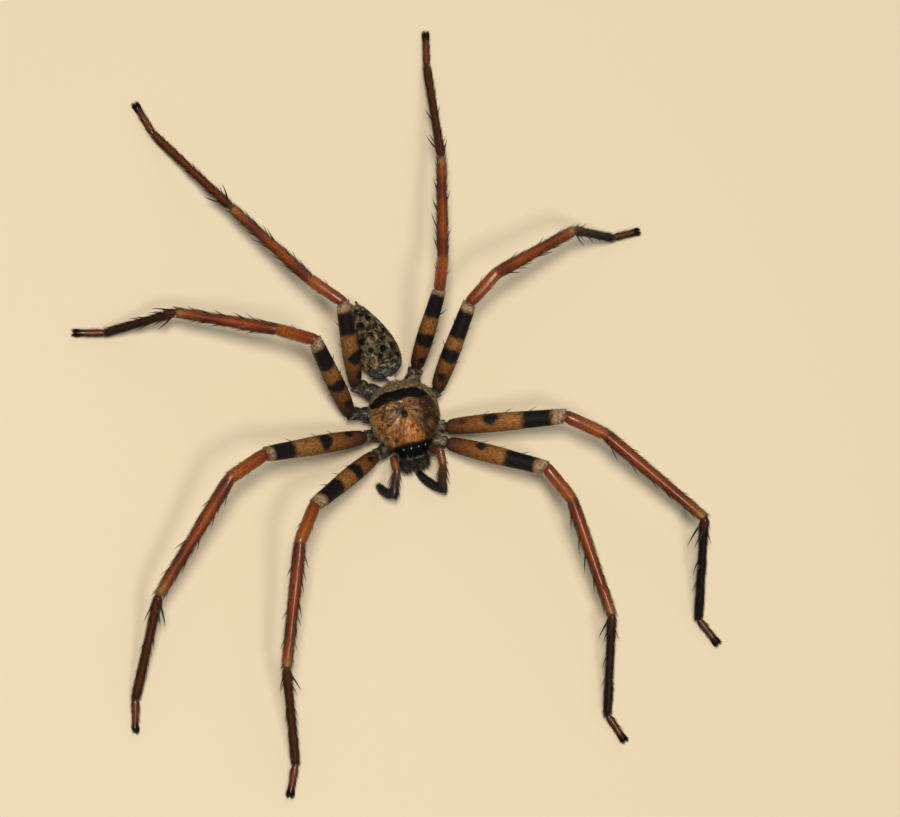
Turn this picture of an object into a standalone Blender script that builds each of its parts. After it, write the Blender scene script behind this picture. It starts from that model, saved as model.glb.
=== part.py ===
"""A huntsman spider, life size, standing still on flat ground with its legs spread.

The ground is Z = 0, the head points along -Y and the spider's left side is +X. Places on the
body are written from the spot where the midline crosses the middle of the head shield's dome.
Sizes are written in millimetres and turned into metres once, where a point or a size is made.
"""

import math
import random

import bmesh
import bpy
from mathutils import Vector

MM = 0.001
UP = Vector((0, 0, 1))

# Where the middle of the head shield stands, so that the whole spider is centred on the origin.
BODY_PLACE = (4.76, -1.91)

# Neighbours that touch on the animal keep this gap.
GAP = 0.3

# Legs. Pairs are numbered from the head. Each leg is a chain of five straight lengths that
# starts where its hip ends: femur, patella, tibia, metatarsus and tarsus.
SEGMENT_LENGTHS = {
    1: (26.3, 9.8, 31.1, 25.9, 7.8),
    2: (30.4, 10.7, 33.5, 27.1, 7.9),
    3: (24.6, 9.8, 26.0, 19.8, 7.5),
    4: (22.8, 9.9, 27.8, 29.4, 9.0),
}
# The legs of a pair are this much thicker than the shared outline below.
LEG_STOUTNESS = {1: 1.0, 2: 1.04, 3: 0.98, 4: 0.94}
HIP_STOUTNESS = {1: 1.0, 2: 1.0, 3: 1.08, 4: 1.2}

# The pose of each leg: where its hip ends, which way each length heads as seen from above
# (0 is the spider's left, 90 its tail) and how steeply the first three lengths rise, in degrees.
# The last two lengths come down to the ground by themselves.
LEG_POSES = {
    "L1": ((9.0, -9.4, 6.5), (-32, -65, -83, -103, -70), (22, 1, -11)),
    "L2": ((9.7, -5.4, 6.5), (-11, -39, -52, -102, -65), (19, 5, -7)),
    "L3": ((9.8, 4.1, 6.7), (58, 34, 17, -7, 2), (31, 18, -14)),
    "L4": ((6.2, 10.9, 6.6), (64, 65, 74, 79, 76), (41, -23, -10)),
    "R1": ((-9.6, -8.3, 6.4), (-154, -127, -109, -95, -114), (32, 6, -14)),
    "R2": ((-11.0, -3.1, 6.4), (180, -159, -135, -115, -105), (26, 11, -15)),
    "R3": ((-13.0, 3.6, 6.1), (111, 146, 154, 178, 166), (40, -21, -15)),
    "R4": ((-9.7, 10.2, 6.4), (91, 130, 120, 118, 106), (33, -6, -14)),
}
# Where each hip leaves the breastplate, on the left side.
HIP_ROOTS = {1: (4.3, -6.6, 4.9), 2: (4.8, -2.7, 4.8), 3: (4.8, 1.4, 4.8), 4: (3.1, 5.4, 4.9)}
ANKLE_HEIGHT = 1.7
TOE_HEIGHT = 0.9

# Half widths along each length of a leg, as (share of the length, half width).
HIP_OUTLINE = ((0, 1.55), (0.3, 1.65), (0.62, 1.75), (0.7, 1.55), (0.78, 1.7), (1, 1.65))
FEMUR_OUTLINE = ((0, 1.65), (0.07, 1.95), (0.22, 2.25), (0.45, 2.35), (0.72, 2.1), (0.93, 1.9), (1, 1.65))
PATELLA_OUTLINE = ((0, 1.5), (0.18, 1.64), (0.5, 1.64), (0.85, 1.5), (1, 1.32))
TIBIA_OUTLINE = ((0, 1.32), (0.07, 1.42), (0.25, 1.33), (0.6, 1.18), (0.95, 1.08), (1, 0.95))
METATARSUS_OUTLINE = ((0, 0.92), (0.05, 1.0), (0.16, 0.9), (0.55, 0.82), (0.96, 0.8), (1, 0.72))
TARSUS_OUTLINE = ((0, 0.7), (0.1, 0.75), (0.45, 0.7))
LEG_SIDES = 10

# Spines. Each row is a pair, one on each side of the leg, or a single spine where it stands on
# top: its share of the length, its angle round the leg from the top, the spine's own length and
# its lean away from the leg.
SPINE_ROWS = {
    "femur": (
        (0.3, 68, 2.1, 36),
        (0.48, 66, 2.4, 38),
        (0.7, 62, 2.6, 36),
        (0.38, 0, 2.2, 38),
        (0.6, 0, 2.4, 38),
    ),
    "patella": ((0.52, 82, 2.2, 34),),
    "tibia": (
        (0.12, 150, 4.6, 30),
        (0.4, 150, 4.8, 28),
        (0.66, 150, 4.2, 28),
        (0.24, 92, 3.8, 32),
        (0.57, 92, 3.8, 30),
        (0.33, 0, 3.0, 32),
    ),
    "metatarsus": ((0.12, 120, 6.8, 36), (0.38, 146, 4.6, 28), (0.14, 60, 3.6, 34), (0.52, 88, 3.2, 28)),
    "feeler": ((0.12, 80, 2.8, 30), (0.36, 84, 2.3, 28)),
}
SPINE_HALF_WIDTH = 0.28
# How much each spine differs from its row: share, angle, length as a share, lean.
SPINE_SPREAD = (0.02, 8, 0.12, 4)
SPINE_SEED = 11

# How deep a spine's root is sunk, as the share of the leg's half width that it starts at.
SPINE_ROOT = 0.4

# The flat-soled pad of brush hairs at the end of each foot, as rings: how far back from the toe's
# tip, the ring's share of the half width and the height of its sole.
PAD_ROWS = ((2.1, 0.9, 0.3), (1.75, 1.0, 0.0), (0.25, 0.95, 0.0), (-0.3, 0.55, 0.35))
PAD_HALF_WIDTH = 0.88
# Claws: length, half width, how far each stands from the middle and how far its tip drops.
CLAW_LENGTH = 1.3
CLAW_HALF_WIDTH = 0.26
CLAW_OFFSET = 0.28
CLAW_DROP = 0.45

# Head shield, from front to rear: place along the body, half width, height of the top and
# height of the rim.
SHIELD_ROWS = (
    (-10.7, 2.5, 8.4, 7.0),
    (-10.2, 3.3, 9.5, 7.1),
    (-8.8, 4.0, 10.6, 7.2),
    (-7.0, 6.1, 11.5, 7.3),
    (-4.2, 8.2, 12.4, 7.4),
    (-0.6, 8.9, 12.8, 7.4),
    (3.0, 8.5, 12.3, 7.4),
    (6.0, 6.6, 10.7, 7.3),
    (7.6, 4.2, 8.9, 7.2),
    (8.4, 2.2, 7.9, 7.0),
)
# The trunk under the shield, with the breastplate as its floor: place, half width, height.
TRUNK_ROWS = (
    (-10.7, 1.8, 5.8),
    (-9.6, 2.3, 4.7),
    (-6.5, 3.3, 3.4),
    (-3.0, 4.4, 3.0),
    (3.0, 4.5, 3.0),
    (6.0, 3.6, 3.4),
    (8.0, 2.2, 4.6),
    (8.4, 1.6, 5.2),
)
SHIELD_ARC_STEPS = 12

# Jaws and fangs, on the left side, each a bent tube from its root.
JAW_PATH = ((1.85, -9.5, 6.1), (1.85, -10.9, 6.3), (1.85, -11.7, 5.3), (1.75, -11.9, 3.9), (1.65, -11.7, 2.9))
JAW_HALF_WIDTHS = (1.4, 1.6, 1.62, 1.4, 0.95)
FANG_PATH = ((1.6, -11.55, 2.45), (1.25, -11.1, 1.75), (0.85, -10.4, 1.45), (0.5, -9.7, 1.45))
FANG_HALF_WIDTHS = (0.5, 0.42, 0.28, 0.08)
JAW_SIDES = 12
FANG_SIDES = 6

# Feelers. Each has an arm of three lengths and a tip folded back beside it.
FEELER_ARMS = {
    "L": ((4.6, -10.1, 6.0), (6.4, -11.0, 8.2), (6.4, -14.6, 7.6), (5.2, -20.2, 4.2)),
    "R": ((-4.7, -9.9, 6.0), (-5.6, -10.6, 8.0), (-5.6, -13.4, 8.4), (-7.6, -19.0, 6.4)),
}
FEELER_TIPS = {"L": (0.9, -14.4, 1.6), "R": (-9.8, -15.2, 1.7)}
FEELER_ARM_HALF_WIDTHS = (0.8, 0.98, 1.0, 0.95)
FEELER_TIP_OUTLINE = ((0, 0.8), (0.28, 0.98), (0.55, 1.0), (0.85, 0.8), (1, 0.45))
FEELER_SIDES = 8

# Eyes in two rows, on the left side: place across the face, a height for the front row and a
# place along the body for the rear row, and the radius.
FRONT_EYES = {"front_middle": (0.72, 8.5, 0.38), "front_side": (1.95, 8.3, 0.5)}
REAR_EYES = {"rear_middle": (0.95, -9.0, 0.34), "rear_side": (2.75, -8.8, 0.53)}
# A distance well outside the body, from where the face is looked for.
FAR = 30

# Waist, the stalk between the two halves of the body.
WAIST_HEIGHT = 6.3
WAIST_HALF_WIDTH = 1.15

# Abdomen: a teardrop along its own axis, as distance from its front, half width, height above
# the axis and depth below it.
ABDOMEN_FRONT = (-0.9, 10.4, WAIST_HEIGHT)
ABDOMEN_HEADING = 101.5
ABDOMEN_ROWS = (
    (0.0, 1.7, 1.6, 1.4),
    (0.8, 3.5, 3.1, 2.7),
    (2.6, 4.8, 4.3, 3.6),
    (5.6, 5.4, 4.8, 4.1),
    (9.2, 5.1, 4.7, 4.0),
    (13.0, 4.1, 4.0, 3.5),
    (16.4, 2.8, 2.9, 2.7),
    (18.7, 1.7, 1.8, 1.8),
    (19.6, 0.8, 0.9, 0.9),
)
ABDOMEN_SIDES = 16
# Spinnerets as (place across, height, length, half width).
SPINNERETS = ((0.55, -0.35, 1.5, 0.42), (0.5, 0.5, 1.2, 0.34))

# Colours as sRGB hex, then roughness.
MATERIALS = {
    "shield_cuticle": ("A9713F", 0.45),
    "abdomen_cuticle": ("7C7059", 0.7),
    "hip_cuticle": ("8A7362", 0.55),
    "femur_cuticle": ("A47A55", 0.45),
    "tibia_cuticle": ("7C3F1E", 0.35),
    "metatarsus_cuticle": ("3E2016", 0.4),
    "tarsus_cuticle": ("2F1B14", 0.6),
    "jaw_cuticle": ("2A1C17", 0.5),
    "fang_cuticle": ("1B0C08", 0.2),
    "feeler_cuticle": ("8C4F28", 0.45),
    "feeler_tip_cuticle": ("1E1613", 0.7),
    "waist_cuticle": ("B98C80", 0.5),
    "eye_lens": ("08080A", 0.08),
}


def clear_scene():
    """Removes whatever the scene starts with."""
    for thing in list(bpy.data.objects):
        bpy.data.objects.remove(thing, do_unlink=True)


def linear(channel):
    """One sRGB channel, 0 to 1, as linear light."""
    if channel <= 0.04045:
        return channel / 12.92
    return ((channel + 0.055) / 1.055) ** 2.4


def material(name):
    """The named material, made the first time it is asked for."""
    known = bpy.data.materials.get(name)
    if known:
        return known
    colour, roughness = MATERIALS[name]
    made = bpy.data.materials.new(name)
    made.use_nodes = True
    surface = made.node_tree.nodes["Principled BSDF"]
    channels = [linear(int(colour[i : i + 2], 16) / 255) for i in (0, 2, 4)]
    surface.inputs["Base Color"].default_value = (*channels, 1)
    surface.inputs["Roughness"].default_value = roughness
    surface.inputs["Metallic"].default_value = 0.0
    return made


def at(place):
    """A place on the body in millimetres, as a point of the finished model."""
    return Vector((place[0] + BODY_PLACE[0], place[1] + BODY_PLACE[1], place[2])) * MM


def mirrored(place, side):
    """A place given for the left side, on the side asked for."""
    return (place[0] if side == "L" else -place[0], *place[1:])


def heading(degrees, rise=0.0):
    """The unit vector that points that way."""
    turn = math.radians(degrees)
    lift = math.radians(rise)
    flat = math.cos(lift)
    return Vector((flat * math.cos(turn), flat * math.sin(turn), math.sin(lift)))


def smooth_rows(rows, steps):
    """Rows of numbers, with more rows set between them on smooth curves."""
    slopes = []
    for index in range(len(rows)):
        before = rows[max(index - 1, 0)]
        after = rows[min(index + 1, len(rows) - 1)]
        span = after[0] - before[0]
        slopes.append([(after[c] - before[c]) / span for c in range(len(rows[0]))])
    filled = []
    for index in range(len(rows) - 1):
        low, high = rows[index], rows[index + 1]
        span = high[0] - low[0]
        for step in range(steps):
            t = step / steps
            blend = t * t * (3 - 2 * t)
            leave = t * (1 - t) ** 2 * span
            arrive = t * t * (t - 1) * span
            row = []
            for c in range(len(low)):
                value = low[c] + (high[c] - low[c]) * blend
                value += slopes[index][c] * leave + slopes[index + 1][c] * arrive
                row.append(value)
            filled.append(row)
    filled.append(list(rows[-1]))
    return filled


def row_at(rows, place):
    """The numbers of the rows at one place, straight between the two nearest."""
    for low, high in zip(rows, rows[1:]):
        if place <= high[0]:
            share = max(0.0, (place - low[0]) / (high[0] - low[0]))
            return [a + (b - a) * share for a, b in zip(low, high)]
    return list(rows[-1])


def across(direction):
    """The level and the upright vector that a tube's rings lie along."""
    side = direction.cross(UP).normalized()
    return side, side.cross(direction).normalized()


def ring(centre, side, up, half_width, half_height, sides):
    """Points round an oval."""
    points = []
    for step in range(sides):
        angle = 2 * math.pi * (step + 0.5) / sides
        points.append(centre + side * (half_width * math.cos(angle)) + up * (half_height * math.sin(angle)))
    return points


def slid_to_plane(points, direction, foot, normal):
    """Points moved along a direction onto a plane, as where a tube is cut at an angle."""
    return [p + direction * ((foot - p).dot(normal) / direction.dot(normal)) for p in points]


def body_from_rings(rings):
    """One closed mesh through rings of equal counts, with flat ends."""
    shape = bmesh.new()
    loops = [[shape.verts.new(point) for point in points] for points in rings]
    count = len(loops[0])
    for near, far in zip(loops, loops[1:]):
        for i in range(count):
            j = (i + 1) % count
            shape.faces.new((near[i], near[j], far[j], far[i]))
    shape.faces.new(loops[0])
    shape.faces.new(loops[-1])
    bmesh.ops.recalc_face_normals(shape, faces=shape.faces)
    return shape


def add_object(name, shape, material_name, collection=None):
    """A bmesh as a named object in the scene."""
    mesh = bpy.data.meshes.new(name)
    shape.to_mesh(mesh)
    shape.free()
    made = bpy.data.objects.new(name, mesh)
    (collection or bpy.context.scene.collection).objects.link(made)
    mesh.materials.append(material(material_name))
    mesh.shade_smooth()
    mesh.set_sharp_from_angle(angle=math.radians(50))
    return made


def keep_largest_surface(mesh):
    """Drops every closed surface of a mesh but the one with the most faces."""
    shape = bmesh.new()
    shape.from_mesh(mesh)
    unseen = set(shape.faces)
    groups = []
    while unseen:
        front = [unseen.pop()]
        group = list(front)
        while front:
            for edge in front.pop().edges:
                for face in edge.link_faces:
                    if face in unseen:
                        unseen.remove(face)
                        front.append(face)
                        group.append(face)
        groups.append(group)
    groups.sort(key=len)
    for group in groups[:-1]:
        bmesh.ops.delete(shape, geom=group, context="FACES")
    shape.to_mesh(mesh)
    shape.free()


def combine(body, pieces, operation):
    """Joins closed pieces to a body, or cuts them out of it, in one step."""
    if not pieces:
        return
    together = bpy.data.collections.new(body.name + "_pieces")
    bpy.context.scene.collection.children.link(together)
    for piece in pieces:
        together.objects.link(piece)
    modifier = body.modifiers.new("combine", "BOOLEAN")
    modifier.operation = operation
    modifier.operand_type = "COLLECTION"
    modifier.collection = together
    modifier.solver = "EXACT"
    graph = bpy.context.evaluated_depsgraph_get()
    result = bpy.data.meshes.new_from_object(body.evaluated_get(graph))
    body.modifiers.clear()
    body.data = result
    for piece in pieces:
        bpy.data.objects.remove(piece, do_unlink=True)
    bpy.data.collections.remove(together)
    keep_largest_surface(result)


def loose_object(name, shape):
    """A piece that is not linked to the scene, for a union or a cut."""
    mesh = bpy.data.meshes.new(name)
    shape.to_mesh(mesh)
    shape.free()
    return bpy.data.objects.new(name, mesh)


def limb_rings(path, outlines, normals, grow=0.0, sides=LEG_SIDES):
    """Rings along a limb of straight lengths that are mitred where they meet.

    outlines holds (share, half width) pairs for each length, in millimetres, and normals the
    directions that the two ends face. Both ends stop half a gap short, and grow makes the limb
    fatter and longer all round.
    """
    rings = []
    last = len(path) - 2
    for index, outline in enumerate(outlines):
        start, end = path[index], path[index + 1]
        direction = (end - start).normalized()
        side, up = across(direction)
        for share, half in outline:
            if share == 0 and index > 0:
                continue
            half = (half + grow) * MM
            points = ring(start.lerp(end, share), side, up, half, half, sides)
            if share == 0:
                foot = start + direction * ((GAP / 2 - grow) * MM)
                points = slid_to_plane(points, direction, foot, normals[0])
            elif share == 1 and index == last:
                foot = end - direction * ((GAP / 2 - grow) * MM)
                points = slid_to_plane(points, direction, foot, normals[1])
            elif share == 1:
                onward = (path[index + 2] - end).normalized()
                points = slid_to_plane(points, direction, end, (direction + onward).normalized())
            rings.append(points)
    return rings


def bent_tube_rings(path, half_widths, sides, grow=0.0):
    """Rings along a short curved tube, each facing along the curve there."""
    points = [Vector(p) for p in path]
    rings = []
    for index, point in enumerate(points):
        before = points[max(index - 1, 0)]
        after = points[min(index + 1, len(points) - 1)]
        direction = (after - before).normalized()
        side = Vector((1, 0, 0)) - direction * direction.x
        side.normalize()
        up = side.cross(direction)
        centre = at(point)
        if grow and index == 0:
            centre -= direction * (grow * MM)
        half = (half_widths[index] + grow) * MM
        rings.append(ring(centre, side, up, half, half, sides))
    return rings


def leg_joints(name):
    """The six joints of a leg, from the end of its hip to the tip of its toe."""
    base, headings, rises = LEG_POSES[name]
    lengths = SEGMENT_LENGTHS[int(name[1])]
    joints = [at(base)]
    for index, length in enumerate(lengths):
        if index < 3:
            rise = rises[index]
        else:
            goal = ANKLE_HEIGHT if index == 3 else TOE_HEIGHT
            rise = math.degrees(math.asin((goal - joints[-1].z / MM) / length))
        joints.append(joints[-1] + heading(headings[index], rise) * (length * MM))
    return joints


def fold_normals(path):
    """The plane normals at the joints of a path, each halfway between its two lengths."""
    directions = [(b - a).normalized() for a, b in zip(path, path[1:])]
    normals = [directions[0]]
    for before, after in zip(directions, directions[1:]):
        normals.append((before + after).normalized())
    normals.append(directions[-1])
    return normals


def cone(root, direction, length, half_width, sides=4, bend=Vector((0, 0, 0))):
    """A tapered spine, claw or spinneret from its sunk root to its tip."""
    side = direction.orthogonal().normalized()
    up = side.cross(direction)
    middle = root + direction * (length * 0.55) + bend * 0.3
    tip = root + direction * length + bend
    shape = bmesh.new()
    near = [shape.verts.new(p) for p in ring(root, side, up, half_width, half_width, sides)]
    half = half_width * 0.68
    far = [shape.verts.new(p) for p in ring(middle, side, up, half, half, sides)]
    end = shape.verts.new(tip)
    for i in range(sides):
        j = (i + 1) % sides
        shape.faces.new((near[i], near[j], far[j], far[i]))
        shape.faces.new((far[i], far[j], end))
    shape.faces.new(near)
    bmesh.ops.recalc_face_normals(shape, faces=shape.faces)
    return shape


def make_spines(kind, start, end, outline, chance):
    """The pairs of spines along one straight length of a limb."""
    direction = (end - start).normalized()
    side, up = across(direction)
    spines = []
    for row in SPINE_ROWS[kind]:
        hands = (-1, 1) if row[1] else (1,)
        for hand in hands:
            drift = [spread * chance.uniform(-1, 1) for spread in SPINE_SPREAD]
            share = row[0] + drift[0]
            angle = math.radians(row[1] + drift[1])
            lean = math.radians(row[3] + drift[3])
            outward = side * (hand * math.sin(angle)) + up * math.cos(angle)
            root = start.lerp(end, share) + outward * (row_at(outline, share)[1] * SPINE_ROOT * MM)
            aim = direction * math.cos(lean) + outward * math.sin(lean)
            length = row[2] * (1 + drift[2]) * MM
            spines.append(loose_object("spine", cone(root, aim, length, SPINE_HALF_WIDTH * MM)))
    return spines


def scaled(outline, factor):
    """An outline made stouter or slimmer."""
    return tuple((share, half * factor) for share, half in outline)


def make_hip(name, joints, grow=0.0):
    """The short jointed root of a leg, as rings."""
    side, pair = name[0], int(name[1])
    path = [at(mirrored(HIP_ROOTS[pair], side)), joints[0], joints[1]]
    normals = fold_normals(path)
    first = path[:2]
    outline = scaled(HIP_OUTLINE, HIP_STOUTNESS[pair])
    return limb_rings(first, [outline], [normals[0], normals[1]], grow)


def toe_rings(joints, normal, stout):
    """The foot's rings: a round tarsus that ends in a flat-soled pad."""
    start, tip = joints[4], joints[5]
    direction = (tip - start).normalized()
    side, up = across(direction)
    rings = limb_rings([start, tip], [scaled(TARSUS_OUTLINE, stout)], [normal, direction])
    level = Vector((direction.x, direction.y, 0)).normalized()
    for back, share, sole in PAD_ROWS:
        centre = tip - level * (back * MM)
        half = PAD_HALF_WIDTH * share * MM
        points = ring(centre, side, UP, half, half, LEG_SIDES)
        for point in points:
            if point.z < centre.z - half * 0.5:
                point.z = sole * MM
        rings.append(points)
    return rings


def make_claws(joints):
    """The two small claws that curve down over the end of the pad."""
    tip = joints[5]
    direction = (tip - joints[4]).normalized()
    level = Vector((direction.x, direction.y, 0)).normalized()
    side = level.cross(UP)
    claws = []
    for hand in (-1, 1):
        root = tip - level * (0.3 * MM) + side * (hand * CLAW_OFFSET * MM) + UP * (0.25 * MM)
        aim = (level + side * (hand * 0.25)).normalized()
        bend = UP * (-CLAW_DROP * MM)
        claw = cone(root, aim, CLAW_LENGTH * MM, CLAW_HALF_WIDTH * MM, 4, bend)
        claws.append(loose_object("claw", claw))
    return claws


def make_leg(name, chance):
    """The five pieces of one leg."""
    joints = leg_joints(name)
    stout = LEG_STOUTNESS[int(name[1])]
    hip_path = [at(mirrored(HIP_ROOTS[int(name[1])], name[0]))] + joints
    normals = fold_normals(hip_path)[1:]
    add_object(f"hip_{name}", body_from_rings(make_hip(name, joints)), "hip_cuticle")

    femur_outline = scaled(FEMUR_OUTLINE, stout)
    rings = limb_rings(joints[0:2], [femur_outline], normals[0:2])
    femur = add_object(f"femur_{name}", body_from_rings(rings), "femur_cuticle")
    combine(femur, make_spines("femur", joints[0], joints[1], femur_outline, chance), "UNION")

    outlines = [scaled(PATELLA_OUTLINE, stout), scaled(TIBIA_OUTLINE, stout)]
    rings = limb_rings(joints[1:4], outlines, [normals[1], normals[3]])
    tibia = add_object(f"tibia_{name}", body_from_rings(rings), "tibia_cuticle")
    spines = make_spines("patella", joints[1], joints[2], outlines[0], chance)
    spines += make_spines("tibia", joints[2], joints[3], outlines[1], chance)
    combine(tibia, spines, "UNION")

    shin_outline = scaled(METATARSUS_OUTLINE, stout)
    rings = limb_rings(joints[3:5], [shin_outline], normals[3:5])
    shin = add_object(f"metatarsus_{name}", body_from_rings(rings), "metatarsus_cuticle")
    combine(shin, make_spines("metatarsus", joints[3], joints[4], shin_outline, chance), "UNION")

    rings = toe_rings(joints, normals[4], stout)
    foot = add_object(f"tarsus_{name}", body_from_rings(rings), "tarsus_cuticle")
    combine(foot, make_claws(joints), "UNION")


def trunk_section(place, shield, trunk):
    """One closed outline across the front half of the body: dome, rim and breastplate."""
    _, half, top, rim = shield
    _, trunk_half, floor = trunk
    points = []
    for step in range(SHIELD_ARC_STEPS + 1):
        angle = math.pi * step / SHIELD_ARC_STEPS
        x = half * math.copysign(abs(math.cos(angle)) ** 0.9, math.cos(angle))
        points.append((x, rim + (top - rim) * math.sin(angle) ** 0.85))
    under = ((half - 0.35, rim - 0.5), (trunk_half + (half - trunk_half) * 0.2, rim - 0.9))
    wall = ((trunk_half, floor + (rim - floor) * 0.3), (trunk_half * 0.72, floor))
    left = [(-x, z) for x, z in under + wall]
    right = [(x, z) for x, z in reversed(under + wall)]
    return [at((x, place, z)) for x, z in points + left + [(0, floor)] + right]


def eye_spots(trunk):
    """Each eye's name, the point of the face that it sits on, and its radius."""
    spots = []
    for side in ("L", "R"):
        for name, (x, z, radius) in FRONT_EYES.items():
            start = at(mirrored((x, -FAR, z), side))
            spots.append((f"eye_{name}_{side}", start, Vector((0, 1, 0)), radius))
        for name, (x, y, radius) in REAR_EYES.items():
            start = at(mirrored((x, y, FAR), side))
            spots.append((f"eye_{name}_{side}", start, Vector((0, 0, -1)), radius))
    found = []
    for name, start, aim, radius in spots:
        hit, point, _, _ = trunk.ray_cast(start, aim)
        assert hit, name
        found.append((name, point, radius))
    return found


def ball(centre, radius):
    """A small faceted ball."""
    shape = bmesh.new()
    bmesh.ops.create_icosphere(shape, subdivisions=2, radius=radius * MM)
    bmesh.ops.translate(shape, verts=shape.verts, vec=centre)
    return shape


def make_front_body():
    """Head shield, breastplate and eyes, with sockets for all that grows from them."""
    shield = smooth_rows(SHIELD_ROWS, 2)
    sections = [trunk_section(row[0], row, row_at(TRUNK_ROWS, row[0])) for row in shield]
    trunk = add_object("head_shield", body_from_rings(sections), "shield_cuticle")
    cutters = []
    for name, point, radius in eye_spots(trunk):
        add_object(name, ball(point, radius), "eye_lens")
        cutters.append(loose_object("socket", ball(point, radius + GAP)))
    for name in LEG_POSES:
        rings = make_hip(name, leg_joints(name), GAP)
        cutters.append(loose_object("socket", body_from_rings(rings)))
    for side in ("L", "R"):
        rings = jaw_rings(side, GAP)
        cutters.append(loose_object("socket", body_from_rings(rings)))
        rings = feeler_arm_rings(side, GAP)
        cutters.append(loose_object("socket", body_from_rings(rings)))
    combine(trunk, cutters, "DIFFERENCE")


def jaw_rings(side, grow=0.0):
    """One jaw, a stout tube that bends down at the front of the face."""
    path = [mirrored(p, side) for p in JAW_PATH]
    return bent_tube_rings(path, JAW_HALF_WIDTHS, JAW_SIDES, grow)


def make_jaws():
    """Both jaws and the fangs folded under them."""
    for side in ("L", "R"):
        add_object(f"jaw_{side}", body_from_rings(jaw_rings(side)), "jaw_cuticle")
        path = [mirrored(p, side) for p in FANG_PATH]
        rings = bent_tube_rings(path, FANG_HALF_WIDTHS, FANG_SIDES)
        add_object(f"fang_{side}", body_from_rings(rings), "fang_cuticle")


def feeler_arm_outlines():
    """The half widths along each length of a feeler's arm."""
    outlines = []
    for near, far in zip(FEELER_ARM_HALF_WIDTHS, FEELER_ARM_HALF_WIDTHS[1:]):
        outlines.append(((0, near), (0.25, near + 0.1), (0.75, far + 0.06), (1, far)))
    return outlines


def feeler_arm_rings(side, grow=0.0):
    """The three lengths of a feeler's arm."""
    path = [at(p) for p in FEELER_ARMS[side]]
    normals = fold_normals(path + [at(FEELER_TIPS[side])])
    return limb_rings(path, feeler_arm_outlines(), [normals[0], normals[3]], grow, FEELER_SIDES)


def make_feelers(chance):
    """Both feelers, each an arm and a tip."""
    for side in ("L", "R"):
        arm = add_object(f"feeler_arm_{side}", body_from_rings(feeler_arm_rings(side)), "feeler_cuticle")
        start, end = (at(p) for p in FEELER_ARMS[side][-2:])
        combine(arm, make_spines("feeler", start, end, feeler_arm_outlines()[-1], chance), "UNION")
        path = [at(FEELER_ARMS[side][-1]), at(FEELER_TIPS[side])]
        normals = fold_normals([at(FEELER_ARMS[side][-2])] + path)[1:]
        rings = limb_rings(path, [FEELER_TIP_OUTLINE], normals, 0.0, FEELER_SIDES)
        add_object(f"feeler_tip_{side}", body_from_rings(rings), "feeler_tip_cuticle")


def make_waist():
    """The thin stalk between the two halves of the body."""
    rear_heading = heading(ABDOMEN_HEADING)
    front = at((0, SHIELD_ROWS[-1][0] + GAP / 2, WAIST_HEIGHT))
    rear = at(ABDOMEN_FRONT) - rear_heading * (GAP / 2 * MM)
    outline = ((0, WAIST_HALF_WIDTH), (0.5, WAIST_HALF_WIDTH * 0.85), (1, WAIST_HALF_WIDTH))
    rings = limb_rings([front, rear], [outline], [Vector((0, 1, 0)), rear_heading])
    add_object("waist", body_from_rings(rings), "waist_cuticle")


def make_abdomen():
    """The teardrop rear half of the body, with the spinnerets at its end."""
    forward = heading(ABDOMEN_HEADING)
    side, up = across(forward)
    front = at(ABDOMEN_FRONT)
    rings = []
    for distance, half, rise, drop in smooth_rows(ABDOMEN_ROWS, 2):
        centre = front + forward * (distance * MM)
        points = ring(centre, side, up, half * MM, MM, ABDOMEN_SIDES)
        for point in points:
            lift = (point - centre).dot(up) / MM
            point += up * (lift * ((rise if lift > 0 else drop) - 1) * MM)
        rings.append(points)
    abdomen = add_object("abdomen", body_from_rings(rings), "abdomen_cuticle")
    tip = front + forward * (ABDOMEN_ROWS[-2][0] * MM)
    pieces = []
    for offset, height, length, half in SPINNERETS:
        for hand in (-1, 1):
            root = tip + side * (hand * offset * MM) + up * (height * MM)
            aim = (forward + side * (hand * 0.12) - up * 0.1).normalized()
            pieces.append(loose_object("spinneret", cone(root, aim, (length + 1) * MM, half * MM, 6)))
    combine(abdomen, pieces, "UNION")


def main():
    """Builds every piece of the spider."""
    clear_scene()
    chance = random.Random(SPINE_SEED)
    make_front_body()
    make_jaws()
    make_feelers(chance)
    make_waist()
    make_abdomen()
    for name in LEG_POSES:
        make_leg(name, chance)


main()
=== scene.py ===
# %% [markdown]
# # A huntsman spider, life size
#
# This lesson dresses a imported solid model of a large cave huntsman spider, standing still with
# its legs spread. The solids already have the true size, so the first step only loads them and
# keeps their box. Everything made later stands where a solid stands, and never outgrows that box.

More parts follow.
